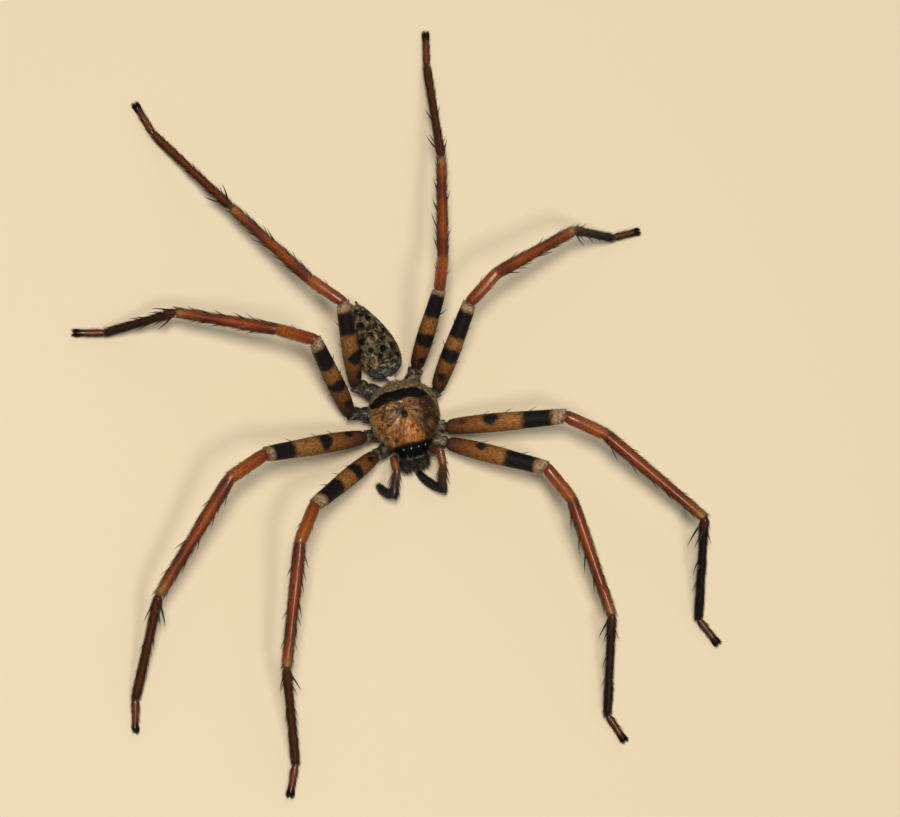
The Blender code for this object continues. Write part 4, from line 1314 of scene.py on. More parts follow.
def shield_colour(tree):
    """The shield's colours, for plate and down alike."""
    # Brown plate, in spokes, with blots of 2 mm and pale flecks that are partly down and partly painted
    # highlight.
    plate_tone = add(tree, "mix", add(tree, "step", spokes(tree, 6.0), 0.3, 0.66), "4E2008", "9C6C34")
    plate_tone = laid_over(tree, plate_tone, patches(tree, 0.46, 0.6, 480.0, 5.0, 0.6), 0.9, "20160B")
    plate_tone = laid_over(tree, plate_tone, patches(tree, 0.54, 0.68, 1500.0, 3.0, 0.6), 0.55, "B2874A")
    # Painted shade over one flank, broken into patches of 2.5 mm.
    patchy = add(tree, "maths", "MULTIPLY_ADD", patches(tree, 0.35, 0.6, 420.0, 4.0, 0.6), 0.5, 0.5)
    plate_tone = laid_over(tree, plate_tone, add(tree, "field", "painted_flank_shade"), patchy, "28190A")
    # The worn middle of the head, orange with pale strokes.
    strokes = patches(tree, 0.36, 0.66, 1300.0, 4.0, 0.6, (1.5, 0.45, 1.0))
    warm = add(tree, "mix", strokes, "622A04", "C68038")
    ragged = object_noise(tree, 900.0, 4.0, 0.6)
    worn = add(tree, "maths", "MULTIPLY_ADD", ragged, 1.0, add(tree, "field", "worn"))
    colour = add(tree, "mix", add(tree, "step", worn, 0.45, 1.05), plate_tone, warm)
    grey = add(tree, "mix", patches(tree, 0.35, 0.65, 1400.0), "54452F", "A38F69")
    colour = add(tree, "mix", add(tree, "field", "edge"), colour, grey)
    # The black crescent and the black spot, with ragged edges.
    for name, fray, black in (("crescent", 0.5, "050302"), ("spot", 0.4, "080403")):
        inside = add(tree, "maths", "MULTIPLY_ADD", ragged, fray, add(tree, "field", name))
        colour = add(tree, "mix", add(tree, "step", inside, 0.1, 0.55), colour, black)
    colour = add(tree, "mix", add(tree, "field", "face"), colour, "0A0808")
    # Painted shade in the furrows, darker where they sink deeper.
    painted_furrow_shade = add(tree, "maths", "MULTIPLY", add(tree, "field", "sink"), 1.1, use_clamp=True)
    return add(tree, "mix", painted_furrow_shade, colour, "24150B")


print("the shield's colours are ready")

# %% [markdown]
# The plate and the down on it share these colours, so a hair on the crescent is black too. The
# plate shines only where it is worn and not black.

# %% Shield plate and down
# Chitin plate under short down: satin, with small worn places that shine.
shield_chitin, tree, shader = new_material(
    "downy_shield_chitin", ior=1.55, specular_ior_level=0.16, coat_roughness=0.24
)
black = add(tree, "maths", "MAXIMUM", add(tree, "field", "crescent"), add(tree, "field", "spot"))
bare = add(tree, "maths", "SUBTRACT", 1.0, add(tree, "step", black, -0.4, 0.2))
polish = add(tree, "maths", "MULTIPLY", bare, patches(tree, 0.42, 0.62, 700.0, 4.0))
worn = patches(tree, 0.45, 0.65, 450.0, 4.0)
relief = add(tree, "maths", "MULTIPLY_ADD", object_noise(tree, 5200.0), 0.6, spokes(tree, 16.0))
wire(
    tree,
    shader,
    base_color=shield_colour(tree),
    coat_weight=add(tree, "maths", "MULTIPLY", polish, 0.36),
    roughness=add(tree, "maths", "MULTIPLY_ADD", worn, -0.26, 0.58),
    normal=add(tree, "bump", relief, 0.14 * MM, 0.7),
)
shield = add_piece("head_shield_skin", shield_skin, shield_chitin)
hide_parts("head_shield")

# Pale down on the plate, in the plate's own colours. The fringe has grey-green tips.
shield_down, tree, shader = new_material("shield_down", ior=1.5, roughness=0.6, specular_ior_level=0.14)
tips = add(tree, "step", add(tree, "field", "tip"), 0.3, 0.7)
colour = laid_over(tree, shield_colour(tree), add(tree, "field", "fringe"), tips, "A8AE9C")
wire(tree, shader, base_color=colour)
DOWN = {"Steps": 2, "Bend": 0.3, "Spread": 0.3}
add_coat("head_shield_down", shield_skin, shield_down, "shield_cuticle", Thickness=0.04, Seed=41, **DOWN)

# %% [markdown]
# ## The trunk and the breastplate
#
# Below the shield the body is a soft grey skin from which the hips grow, and underneath lies
# the breastplate, a heart-shaped plate. Two lobes before it close the mouth. They hardly show,
# but the model is seen from every side.

# %% Trunk mesh
def make_trunk():
    """The soft body between the shield and the breastplate."""
    places = np.linspace(-10.5, 8.3, 60)
    halves, _, rims = rows_at(SHIELD_ROWS, places)
    trunk_halves, floors = rows_at(TRUNK_ROWS, places)
    rings = []
    for place, half, rim, narrow, floor in zip(places, halves, rims, trunk_halves, floors):
        end = min(place - places[0], places[-1] - place)
        pull = 0.7 + 0.3 * float(smooth(end / 0.8))
        shape = (
            (half * 0.55, rim + 0.6),
            (half - 0.55, rim - 0.15),
            (narrow + (half - narrow) * 0.4, rim - 0.9),
            (narrow + 0.1, floor + (rim - floor) * 0.35),
            (narrow * 0.78, floor + 0.12),
            (0.0, floor + 0.06),
        )
        right = np.array(shape)
        fine = np.linspace(0, len(right) - 1, 26)
        xs = np.interp(fine, np.arange(len(right)), right[:, 0]) * pull
        zs = np.interp(fine, np.arange(len(right)), right[:, 1])
        outline = list(zip(xs, zs))
        other_side = [(-x, z) for x, z in outline[-2::-1]]
        rings.append([(x, place, z) for x, z in outline + other_side])
    rings = np.array(rings)
    folds = 0.05 * np.sin(rings[..., 1] * 9 + rings[..., 2] * 4)
    rings[..., 0] += np.sign(rings[..., 0]) * folds
    zero = np.zeros(rings.shape[:2])
    flank = smooth((np.array(rims)[:, None] - 0.4 - rings[..., 2]) / 0.4)
    flank *= smooth((np.abs(rings[..., 0]) - 2.5) / 1.0)
    lie = np.stack([np.sign(rings[..., 0]) * 0.45, zero + 0.8, zero - 0.25], -1)
    fields = {
        "hair_density": 9 * PER_MM2 * flank,
        "hair_length": (zero + 0.5) * MM,
        "hair_lie": lie,
        "hair_bend": np.stack([zero, zero + 1, zero], -1),
    }
    return loft("trunk_skin", rings + np.array(BODY_PLACE), fields)


trunk_mesh = make_trunk()
print("trunk faces:", len(trunk_mesh.polygons))

# %% [markdown]
# The breastplate, the lip and the lobes are lens-shaped plates, thin at the rim, so one function
# with a few measures makes all four.

# %% Plates below the body
def plate(name, centre, half_length, half_width, thickness, taper, tilt=0.0, way=1.0):
    """A lens-shaped plate that narrows towards the tail; way turns its hair to the tail or the head."""
    rings, edge = [], []
    for t in np.linspace(-0.995, 0.995, 40):
        width = half_width * math.sqrt(1 - t * t) * (1 - taper * t)
        angles = np.linspace(0, 2 * np.pi, 32, endpoint=False)
        deep = thickness * math.sqrt(1 - t * t) ** 0.6
        x = centre[0] + width * np.cos(angles)
        z = centre[2] + deep * np.sin(angles) + tilt * t
        rings.append([(a, centre[1] + t * half_length, b) for a, b in zip(x, z)])
        edge.append(smooth((np.maximum(abs(t), np.abs(np.cos(angles))) - 0.72) / 0.28))
    rings, edge = np.array(rings), np.array(edge)
    below = np.tile(np.sin(angles) < 0.15, (len(rings), 1))
    aside = (rings[..., 0] - centre[0]) / half_width
    level = np.full_like(aside, way)
    fields = {
        "edge": edge,
        "hair_density": PER_MM2 * (12 + 14 * edge) * below,
        "hair_length": (0.45 + 0.25 * edge) * MM,
        "hair_lie": np.stack([aside * 0.3, level * 0.8, np.full_like(aside, -0.4)], -1),
        "hair_bend": np.stack([aside * 0, level, aside * 0], -1),
    }
    return loft(name, rings + np.array(BODY_PLACE), fields)


print("plates can be made")

# %% [markdown]
# The trunk's skin is soft and wrinkled, without a gloss. The plates are thin tan chitin with a
# satin surface, and pale down covers both.

# %% Finishes and pieces below the body
# Soft joint skin: matt, wrinkled, pale greyish brown.
soft_skin, tree, shader = new_material("soft_joint_skin", ior=1.45, roughness=0.55)
wrinkles = object_noise(tree, 1500.0, 4.0, 0.6, (1.0, 3.0, 1.0))
wire(
    tree,
    shader,
    base_color=add(tree, "mix", object_noise(tree, 900.0), "5A4A40", "93816F"),
    normal=add(tree, "bump", wrinkles, 0.2 * MM, 0.8),
)


def breast_colour(tree):
    """Tan with darker rims and blots of 1.5 mm, for plates and their down."""
    tan = add(tree, "mix", patches(tree, 0.35, 0.65, 700.0, 4.0, 0.6), "6E4A28", "A27A4A")
    return laid_over(tree, tan, add(tree, "field", "edge"), 0.6, "3E2614")


# Breastplate: brown chitin, satin, darker at the rim, under pale down.
breast_chitin, tree, shader = new_material("breastplate_chitin", ior=1.55, roughness=0.45, coat_weight=0.2)
wire(
    tree,
    shader,
    base_color=breast_colour(tree),
    normal=add(tree, "bump", object_noise(tree, 5200.0), 0.08 * MM, 0.6),
)
breast_down, tree, shader = new_material("breastplate_down", ior=1.5, roughness=0.6, specular_ior_level=0.14)
own = breast_colour(tree)
wire(tree, shader, base_color=tipped(tree, 0.3, 1.0, own, add(tree, "mix", 0.25, own, "D2BC94")))

trunk = add_piece("trunk_skin", trunk_mesh, soft_skin)
trunk_values = {**DOWN, "Bend": 0.25, "Thickness": 0.03, "Seed": 45}
add_coat("trunk_down", trunk_mesh, breast_down, "waist_cuticle", **trunk_values)
for name, facts in {
    "breastplate": ((0.0, -0.3, 3.15), 6.4, 4.2, 0.42, 0.3),
    "lower_lip": ((0.0, -7.6, 3.7), 1.1, 1.0, 0.4, 0.25, -0.15),
    "mouth_lobe_L": ((1.5, -8.6, 4.0), 1.9, 0.95, 0.65, -0.1, -0.5, -1.0),
    "mouth_lobe_R": ((-1.5, -8.6, 4.0), 1.9, 0.95, 0.65, -0.1, -0.5, -1.0),
}.items():
    mesh = plate(name, *facts)
    add_piece(name, mesh, breast_chitin)
    add_coat(f"{name}_down", mesh, breast_down, "shield_cuticle", Thickness=0.028, Seed=47, **DOWN)
print("trunk pieces are in place")

# %% [markdown]
# ## The eyes
#
# Eight eyes sit in two rows on the black face. Each is a clear, hard lens over a black cup, so
# a small glossy ball is right. The solid model knows where they are: the box of each of its
# eyes gives the centre and the size.

# %% Eyes
# Lens cuticle: black behind a clear, polished front. A blue-green glint, the eyeshine of the mirror
# layer behind each lens, is painted into the colour along the way that the eye looks.
eye_lens, tree, shader = new_material(
    "eye_lens", ior=1.5, roughness=0.06, coat_weight=0.6, coat_roughness=0.03
)
depth = add(tree, "mix", patches(tree, 0.4, 0.7, 2200.0), "030506", "0C2E34")
# Pale cyan, a painted glint, where the lens faces along its gaze.
wire(tree, shader, base_color=add(tree, "mix", add(tree, "field", "painted_glint"), depth, "8AFAFF"))


def ball_rings(centre, radius, sides=28, rows=20):
    """Rings of a ball, from its lowest to its highest point."""
    rings = []
    for angle in np.linspace(-math.pi / 2 + 0.05, math.pi / 2 - 0.05, rows):
        turn = np.linspace(0, 2 * np.pi, sides, endpoint=False)
        wide, high = radius * math.cos(angle), radius * math.sin(angle)
        rings.append(np.stack([wide * np.cos(turn), wide * np.sin(turn), np.full(sides, high)], -1) + centre)
    return np.array(rings)


# The eyes look away from this point inside the head.
HEAD_CORE = (0.0, -8.0, 6.6)
# How bright the glint in each eye is. In the photo one eye of the rear row shines most.
# Each is the strength of the glint painted into that lens's colour.
EYE_PAINTED_GLINTS = {
    "eye_rear_middle_R": 1.0,
    "eye_rear_middle_L": 0.14,
    "eye_rear_side_R": 0.08,
    "eye_rear_side_L": 0.06,
    "eye_front_middle_R": 0.16,
    "eye_front_middle_L": 0.1,
    "eye_front_side_R": 0.22,
    "eye_front_side_L": 0.1,
}
for node in [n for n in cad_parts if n.startswith("eye_")]:
    low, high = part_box(node)
    centre = np.array((low + high) / 2) / MM
    radius = (high - low).x / 2 / MM
    rings = ball_rings(centre, radius)
    gaze = unit(centre - at(HEAD_CORE))
    # Painted glint: pale cyan laid into the lens colour round the eye's gaze.
    painted_glint = smooth((((rings - centre) / radius) @ gaze - 0.8) / 0.18) * EYE_PAINTED_GLINTS[node]
    eye = add_piece(node + "_lens", loft(node + "_lens", rings, {"painted_glint": painted_glint}), eye_lens)
    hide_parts(node)
print("eyes:", len(EYE_PAINTED_GLINTS))

# %% [markdown]
# ## Jaws and fangs
#
# The jaws are two stout black-brown cones that point down, hairy in front. Each holds a fang,
# which folds in under it like a pocket knife. Both are bent tubes: rings set across a smooth
# curve through a few points.

# %% Bent tubes
JAW_PATH = (
    (1.85, -9.5, 6.1),
    (1.85, -10.9, 6.3),
    (1.85, -11.7, 5.3),
    (1.75, -11.9, 3.9),
    (1.65, -11.7, 2.9),
)
JAW_HALF_WIDTHS = (1.4, 1.58, 1.58, 1.35, 0.9)
FANG_PATH = ((1.6, -11.55, 2.75), (1.25, -11.1, 1.85), (0.85, -10.4, 1.47), (0.5, -9.7, 1.45))
FANG_HALF_WIDTHS = (0.5, 0.42, 0.26, 0.05)
# The share of a jaw's length over which its end is rounded off.
BLUNT_END = 0.06


def curve_at(points, share):
    """A point on a smooth curve through the points, and the direction there."""
    table = np.array(points, float)
    keys = np.arange(len(table), dtype=float)
    place = share * (len(table) - 1)
    step = 0.02

    def spot(t):
        return np.array([outline_at(np.stack([keys, table[:, c]], 1), t) for c in range(3)])

    ahead, behind = min(place + step, keys[-1]), max(place - step, 0.0)
    return spot(place), unit(spot(ahead) - spot(behind))


def bent_tube(name, points, halves, sides, rows, blunt):
    """A tapered tube along a smooth curve, blunt or sharp, with fields for its hair."""
    rings, along, out, share_field = [], [], [], []
    angles = 2 * np.pi * (np.arange(sides) + 0.5) / sides
    widths = list(enumerate(halves))
    for share in np.linspace(0, 1, rows):
        centre, direction = curve_at(points, share)
        side = unit(np.array((1.0, 0.0, 0.0)) - direction * direction[0])
        up = np.cross(side, direction)
        half = outline_at(widths, share * (len(halves) - 1))
        if blunt and share > 1 - BLUNT_END:
            half *= 0.35 + 0.65 * float(smooth((1 - share) / BLUNT_END))
        around = side * np.cos(angles)[:, None] + up * np.sin(angles)[:, None]
        rings.append(centre + around * half)
        along.append(np.tile(direction, (sides, 1)))
        out.append(around)
        share_field.append(np.full(sides, share))
    along, out, share_field = np.array(along), np.array(out), np.array(share_field)
    rings = np.array(rings) + np.array(BODY_PLACE)
    lie = along * 0.75 + out * 0.6
    fields = {
        "segment": share_field,
        "hair_density": PER_MM2 * 19 * smooth((share_field - 0.05) / 0.2),
        "hair_length": MM * inside_box(rings, lie, 1.1 + 1.6 * share_field, 0.35, 1.4),
        "hair_lie": lie,
        "hair_bend": along,
    }
    return loft(name, rings, fields)


print("tubes can be bent")

# %% [markdown]
# The jaws are the darkest chitin of all, with stiff dark hair on it. The fangs are bare and
# polished, and red where the horn grows thin.

# %% Finishes and pieces of the jaws
# Jaw chitin: nearly black, satin, pitted where each hair stands.
jaw_chitin, tree, shader = new_material("black_jaw_chitin", ior=1.55, roughness=0.42, coat_weight=0.2)
wire(
    tree,
    shader,
    base_color=add(tree, "mix", patches(tree, 0.42, 0.62, 1100.0, 3.0, 0.6), "060606", "262318"),
    normal=add(tree, "bump", object_noise(tree, 4200.0), 0.1 * MM, 0.7),
)

# Dark hair with grey-brown tips, and paler in tufts of 1.6 mm.
dark_hair, tree, shader = new_material("dark_hair", ior=1.5, roughness=0.55, specular_ior_level=0.3)
shades = add(tree, "mix", patches(tree, 0.5, 0.6, 620.0, 4.0, 0.6), "060605", "4C4634")
wire(tree, shader, base_color=tipped(tree, 0.4, 1.0, shades, "38342A"))

# Fang horn: polished, black at the root and dark red at the thin tip.
fang_horn, tree, shader = new_material("polished_fang_horn", ior=1.56, roughness=0.18, coat_weight=0.4)
fade = add(tree, "step", add(tree, "field", "segment"), 0.2, 1.0)
rusty = add(tree, "mix", object_noise(tree, 1500.0), "2A0F08", "4E1C0C")
wire(tree, shader, base_color=add(tree, "mix", fade, "0B0706", rusty))

for side in ("L", "R"):
    path = [mirrored(p, side) for p in JAW_PATH]
    skin = bent_tube(f"jaw_skin_{side}", path, JAW_HALF_WIDTHS, sides=32, rows=48, blunt=True)
    jaw = add_piece(f"jaw_skin_{side}", skin, jaw_chitin)
    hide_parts(f"jaw_{side}")
    values = {"Thickness": 0.03, "Bend": 0.3, "Spread": 0.5, "Seed": 51}
    add_coat(f"jaw_hair_{side}", skin, dark_hair, "jaw_cuticle", **values)
    path = [mirrored(p, side) for p in FANG_PATH]
    horn = bent_tube(f"fang_{side}_horn", path, FANG_HALF_WIDTHS, sides=20, rows=36, blunt=False)
    fang = add_piece(f"fang_{side}_horn", horn, fang_horn)
    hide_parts(f"fang_{side}")
print("jaws and fangs are in place")

# %% [markdown]
# ## The feelers
#
# The feelers are short legs beside the jaws, orange-brown with long dark bristles on their
# last lengths, and folded back at a black furry tip. They are made as the legs are, as one skin.

# %% Feelers
FEELER_ARMS = {
    "L": ((4.6, -10.1, 6.0), (6.4, -11.0, 8.2), (6.4, -14.6, 7.6), (5.2, -20.2, 4.2)),
    "R": ((-4.7, -9.9, 6.0), (-5.6, -10.6, 8.0), (-5.6, -13.4, 8.4), (-7.6, -19.0, 6.4)),
}
FEELER_TIPS = {"L": (0.9, -14.4, 1.6), "R": (-9.8, -15.2, 1.7)}
FEELER_OUTLINES = (
    ((0, 0.78), (0.25, 0.86), (0.75, 1.0), (1, 0.94)),
    ((0, 0.94), (0.25, 1.04), (0.75, 1.02), (1, 0.96)),
    ((0, 0.96), (0.2, 0.86), (0.6, 0.92), (0.9, 1.02), (1, 0.9)),
    ((0, 0.8), (0.5, 0.88), (1, 0.93)),
    ((0, 0.93), (0.5, 0.95), (1, 0.88)),
    ((0, 0.88), (0.5, 0.76), (1, 0.42)),
)
TIP_CURL = 0.55
# The tip counts as the fourth length, and the colours run on to its end.
FEELER_LENGTHS = 4
FEELER_STOPS = (
    (0.0, "4A3A30"),
    (0.7, "6E3E20"),
    (1.05, "70380F"),
    (1.5, "94520F"),
    (1.85, "804414"),
    (1.97, "4E220C"),
    (2.1, "6E3C18"),
    (2.6, "4A2A14"),
    (2.9, "241510"),
    (3.05, "0E0A09"),
    (4.0, "0B0808"),
)


def feeler_colour(tree):
    """The feeler's colours, for skin and hair alike."""
    ground = colour_along(tree, FEELER_STOPS, FEELER_LENGTHS, 0.4)
    tone = add(tree, "mix", object_noise(tree, 1300.0), "7A7A7A", "FFFFFF")
    return add(tree, "tint", 1.0, ground, tone)


# Feeler chitin: as on the legs, with a softer gloss.
feeler_chitin, tree, shader = new_material(
    "tanned_feeler_chitin", ior=1.55, roughness=0.38, coat_weight=0.3
)
wire(
    tree,
    shader,
    base_color=feeler_colour(tree),
    normal=add(tree, "bump", object_noise(tree, 6000.0), 0.06 * MM, 0.5),
)
feeler_hair, tree, shader = new_material("feeler_hair", ior=1.5, roughness=0.6, specular_ior_level=0.25)
wire(tree, shader, base_color=add(tree, "mix", 0.7, feeler_colour(tree), "100A08"))

FEELER_JOINTS = ((0.9, 0.6), (0.88, 0.6), (0.9, 0.6), (1.0, 0.4), (1.0, 0.4))
FEELER_SPINES = {
    2: (
        (0.1, 80, 3.0, 30),
        (0.25, 110, 2.6, 26),
        (0.36, 84, 3.2, 28),
        (0.6, 95, 3.0, 26),
        (0.8, 70, 2.4, 30),
        (0.5, 0, 2.2, 30),
    ),
    1: ((0.7, 75, 1.8, 30),),
}
for side in ("L", "R"):
    arm, end = [at(p) for p in FEELER_ARMS[side]], at(FEELER_TIPS[side])
    # The furry tip is one length of the feeler, bowed like a comma through two more points.
    curl = unit(arm[3] - arm[2]) * TIP_CURL
    points = [*arm, *(arm[3] + (end - arm[3]) * share + curl for share in (0.33, 0.68)), end]
    rings, fields = limb(points, FEELER_OUTLINES, 28, FEELER_JOINTS)
    segment = fields["segment"]
    segment = np.where(segment > 3, 3 + (segment - 3) / 3, segment)
    furry = smooth((segment - 2.7) / 0.5)
    density = 5 + 4 * smooth((segment - 1.8) / 0.5) + 50 * furry
    more = {
        "segment": segment,
        "hair_density": PER_MM2 * density * smooth(1 - fields["fold"] * 1.5),
        "hair_length": MM * (0.7 + 0.5 * smooth((segment - 1.8) / 0.4) - 0.6 * furry),
        "hair_lie": fields["along"] * 0.85 + fields["out"] * (0.5 + 0.2 * furry)[..., None],
        "hair_bend": fields["along"],
    }
    skin = loft(f"feeler_skin_{side}", rings, more)
    feeler = add_piece(f"feeler_skin_{side}", skin, feeler_chitin)
    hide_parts(f"feeler_arm_{side}", f"feeler_tip_{side}")
    values = {"Thickness": 0.024, "Bend": 0.2, "Spread": 0.3, "Seed": 61}
    add_coat(f"feeler_hair_{side}", skin, feeler_hair, "feeler_tip_cuticle", **values)
    facts = spine_points(points, FEELER_SPINES, dict(enumerate(FEELER_OUTLINES)), 1.0, chance)
    add_spines(f"feeler_bristles_{side}", "feeler_cuticle", *facts)

# %% [markdown]
# ## The waist
#
# A thin stalk joins the two halves of the body. It is soft, pinkish and folded like a bellows.

# %% Waist
ABDOMEN_FRONT = (-0.9, 10.4, 6.3)
ABDOMEN_HEADING = 101.5
WAIST_HEIGHT = 6.3


def make_waist():
    """The stalk between the halves of the body, with soft folds."""
    start = np.array((0.0, 7.9, WAIST_HEIGHT))
    end = np.array(ABDOMEN_FRONT) + heading(ABDOMEN_HEADING) * 0.8
    direction = unit(end - start)
    side, up = axes_of(direction)
    angles = np.linspace(0, 2 * np.pi, 32, endpoint=False)
    rings = []
    for share in np.linspace(0, 1, 46):
        half = 1.15 * (1 - 0.18 * math.sin(math.pi * share)) * (1 + 0.05 * math.sin(share * 34))
        around = side * np.cos(angles)[:, None] + up * np.sin(angles)[:, None]
        rings.append(start + (end - start) * share + around * half)
    return loft("waist_skin", np.array(rings) + np.array(BODY_PLACE), {})


# Soft joint skin, thin enough for the blood below to tint it.
waist_skin, tree, shader = new_material("pink_waist_skin", ior=1.4, roughness=0.4)
veins = patches(tree, 0.47, 0.6, 1100.0, 5.0, 0.65)
pink = add(tree, "mix", object_noise(tree, 500.0), "C9AFA4", "E0CCC2")
wire(
    tree,
    shader,
    base_color=add(tree, "mix", veins, pink, "7A1E18"),
    normal=add(tree, "bump", object_noise(tree, 1800.0), 0.15 * MM, 0.8),
)
waist = add_piece("waist_skin", make_waist(), waist_skin)
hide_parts("waist")
print("waist is in place")

# %% [markdown]
# ## The abdomen
#
# The abdomen is a soft bag under a felt of short hair, khaki and grey with irregular black
# spots. Rings along its axis give the teardrop; small dimples on top show where muscles pull.
# The larger spots have their own places, as distance from the front and distance from the
# midline, and noise adds the small ones and frays every edge.

# %% Abdomen skin
# Distance from the front, half width, height above the axis and depth below it.
ABDOMEN_ROWS = (
    (0.0, 1.7, 1.6, 1.4),
    (0.8, 3.5, 3.1, 2.7),
    (2.6, 4.8, 4.3, 3.6),
    (5.6, 5.4, 4.8, 4.1),
    (9.2, 5.1, 4.7, 4.0),
    (13.0, 4.1, 4.0, 3.5),
    (16.4, 2.8, 2.9, 2.7),
    (18.7, 1.7, 1.8, 1.8),
    (19.6, 0.8, 0.9, 0.9),
)
# How far the skin lies inside the solid, which leaves room for the felt.
COAT_DEPTH = 0.14
# Spots as (distance from the front, distance towards the left, half length, half width).
SPOTS = (
    (6.8, 0.5, 0.95, 0.75),
    (6.5, 3.2, 0.85, 0.6),
    (4.0, 3.7, 0.7, 0.6),
    (5.0, -0.9, 0.6, 0.5),
    (7.5, -2.2, 0.65, 0.6),
    (10.9, 3.3, 0.75, 0.6),
    (11.3, -0.6, 0.8, 0.65),
    (10.2, -3.2, 0.8, 0.7),
    (15.3, 1.0, 0.8, 0.7),
    (14.2, -1.5, 0.75, 0.7),
    (16.6, -0.4, 0.5, 0.6),
    (8.9, 1.5, 0.45, 0.4),
    (8.6, -4.3, 0.6, 0.5),
    (13.0, 2.0, 0.5, 0.4),
)
# Pairs of dimples as (distance from the front, distance from the midline).
DIMPLES = ((5.2, 1.3), (8.3, 1.5), (11.2, 1.2))
ABDOMEN_SIDES = 64


def make_abdomen():
    """The abdomen's skin, with its spots and dimples."""
    forward = heading(ABDOMEN_HEADING)
    side, up = axes_of(forward)
    front = np.array(ABDOMEN_FRONT)
    # The rings stand closer at both rounded ends.
    ends = (0.02, 0.1, 0.25, 0.45, 0.7), (19.2, 19.4, 19.55)
    distances = np.concatenate([ends[0], np.linspace(1.0, 19.0, 86), ends[1]])
    halves, rises, drops = rows_at(ABDOMEN_ROWS, distances)
    angles = 2 * np.pi * (np.arange(ABDOMEN_SIDES) + 0.5) / ABDOMEN_SIDES
    rings, where, left = [], [], []
    for distance, half, rise, drop in zip(distances, halves, rises, drops):
        half, rise, drop = half - COAT_DEPTH, rise - COAT_DEPTH, drop - COAT_DEPTH
        across = half * np.cos(angles)
        upward = np.where(np.sin(angles) > 0, rise, drop) * np.sin(angles)
        sag = np.zeros(ABDOMEN_SIDES)
        for place, offset in DIMPLES:
            for hand in (-1, 1):
                pit = hump(np.hypot(distance - place, across - hand * offset), 0.45)
                sag += 0.2 * pit * (np.sin(angles) > 0)
        wave = 1 + 0.006 * np.sin(distance * 2.3 + 3 * angles)
        sideways = side * (across * wave)[:, None]
        rings.append(front + forward * distance + sideways + up * (upward * wave - sag)[:, None])
        where.append(np.full(ABDOMEN_SIDES, distance))
        left.append(across)
    where, left = np.array(where), np.array(left)
    spots = np.full(where.shape, -2.0)
    for distance, offset, long_half, wide_half in SPOTS:
        far = np.hypot((where - distance) / long_half, (left - offset) / wide_half)
        spots = np.maximum(spots, (1.3 - far) * 1.2)
    above = np.tile(np.sin(angles), (len(distances), 1))
    spots = np.where(above > 0, spots, -2.0)
    nose = smooth((3.4 - where) / 2.6)
    rings = np.array(rings)
    outward = rings - (front + forward * where[..., None])
    outward /= np.linalg.norm(outward, axis=-1, keepdims=True)
    fields = {
        "spots": np.clip(spots, -1.2, 1),
        "nose": nose,
        "hair_density": PER_MM2 * (26 + 6 * nose),
        "hair_length": MM * (0.5 + 0.5 * nose),
        "hair_lie": forward * 0.9 + outward * 0.32,
        "hair_bend": np.tile(forward, (*where.shape, 1)),
    }
    return loft("abdomen_skin", rings + np.array(BODY_PLACE), fields)


abdomen_mesh = make_abdomen()
print("abdomen faces:", len(abdomen_mesh.polygons), "spots:", len(SPOTS))

# %% [markdown]
# Felted hair has no gloss, and its colour changes from hair to hair. Three sizes of noise make
# the mottle: broad clouds of khaki and grey, blots of 1.6 mm, and a fine grain. The front
# carries longer, bluish-grey hair.

# %% Abdomen finish
def abdomen_colour(tree):
    """The abdomen's colours, for skin and felt alike."""
    colour = add(tree, "mix", patches(tree, 0.38, 0.62, 260.0), "3A3628", "786A4C")
    rosy = patches(tree, 0.5, 0.64, 330.0, 3.0, 0.5, (1.0, 1.0, 1.7))
    colour = laid_over(tree, colour, rosy, 0.5, "7E5E40")
    blots = patches(tree, 0.44, 0.58, 620.0, 4.0, 0.6, (1.4, 0.8, 1.0))
    colour = laid_over(tree, colour, blots, 0.88, "15120D")
    colour = laid_over(tree, colour, patches(tree, 0.54, 0.66, 1100.0, 3.0, 0.5), 0.62, "B09C76")
    front = add(tree, "mix", patches(tree, 0.4, 0.62, 1100.0), "0F1517", "6A7068")
    colour = laid_over(tree, colour, add(tree, "field", "nose"), 0.85, front)
    # The black spots, frayed by noise of 1.8 mm, which also adds small ones.
    fray = object_noise(tree, 560.0, 5.0, 0.7)
    ragged = add(tree, "maths", "MULTIPLY_ADD", fray, 4.6, add(tree, "field", "spots"))
    return add(tree, "mix", add(tree, "step", ragged, 2.25, 2.9), colour, "050504")


# Soft skin under felt: no gloss, all grain.
abdomen_felt, tree, shader = new_material(
    "felted_abdomen_skin", ior=1.45, roughness=0.75, specular_ior_level=0.12
)
wire(
    tree,
    shader,
    base_color=abdomen_colour(tree),
    normal=add(tree, "bump", object_noise(tree, 3800.0, 4.0, 0.7), 0.22 * MM, 0.9),
)
abdomen = add_piece("abdomen_skin", abdomen_mesh, abdomen_felt)
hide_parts("abdomen")

abdomen_hair, tree, shader = new_material(
    "abdomen_felt_hair", ior=1.5, roughness=0.65, specular_ior_level=0.12
)
own = abdomen_colour(tree)
wire(tree, shader, base_color=tipped(tree, 0.3, 1.0, own, add(tree, "mix", 0.12, own, "C2B496")))
values = {"Steps": 2, "Thickness": 0.045, "Bend": 0.25, "Spread": 0.35, "Seed": 71}
add_coat("abdomen_hair", abdomen_mesh, abdomen_hair, "abdomen_cuticle", **values)

# %% [markdown]
# At the rear end stand the spinnerets, three pairs of small cones that draw the silk.

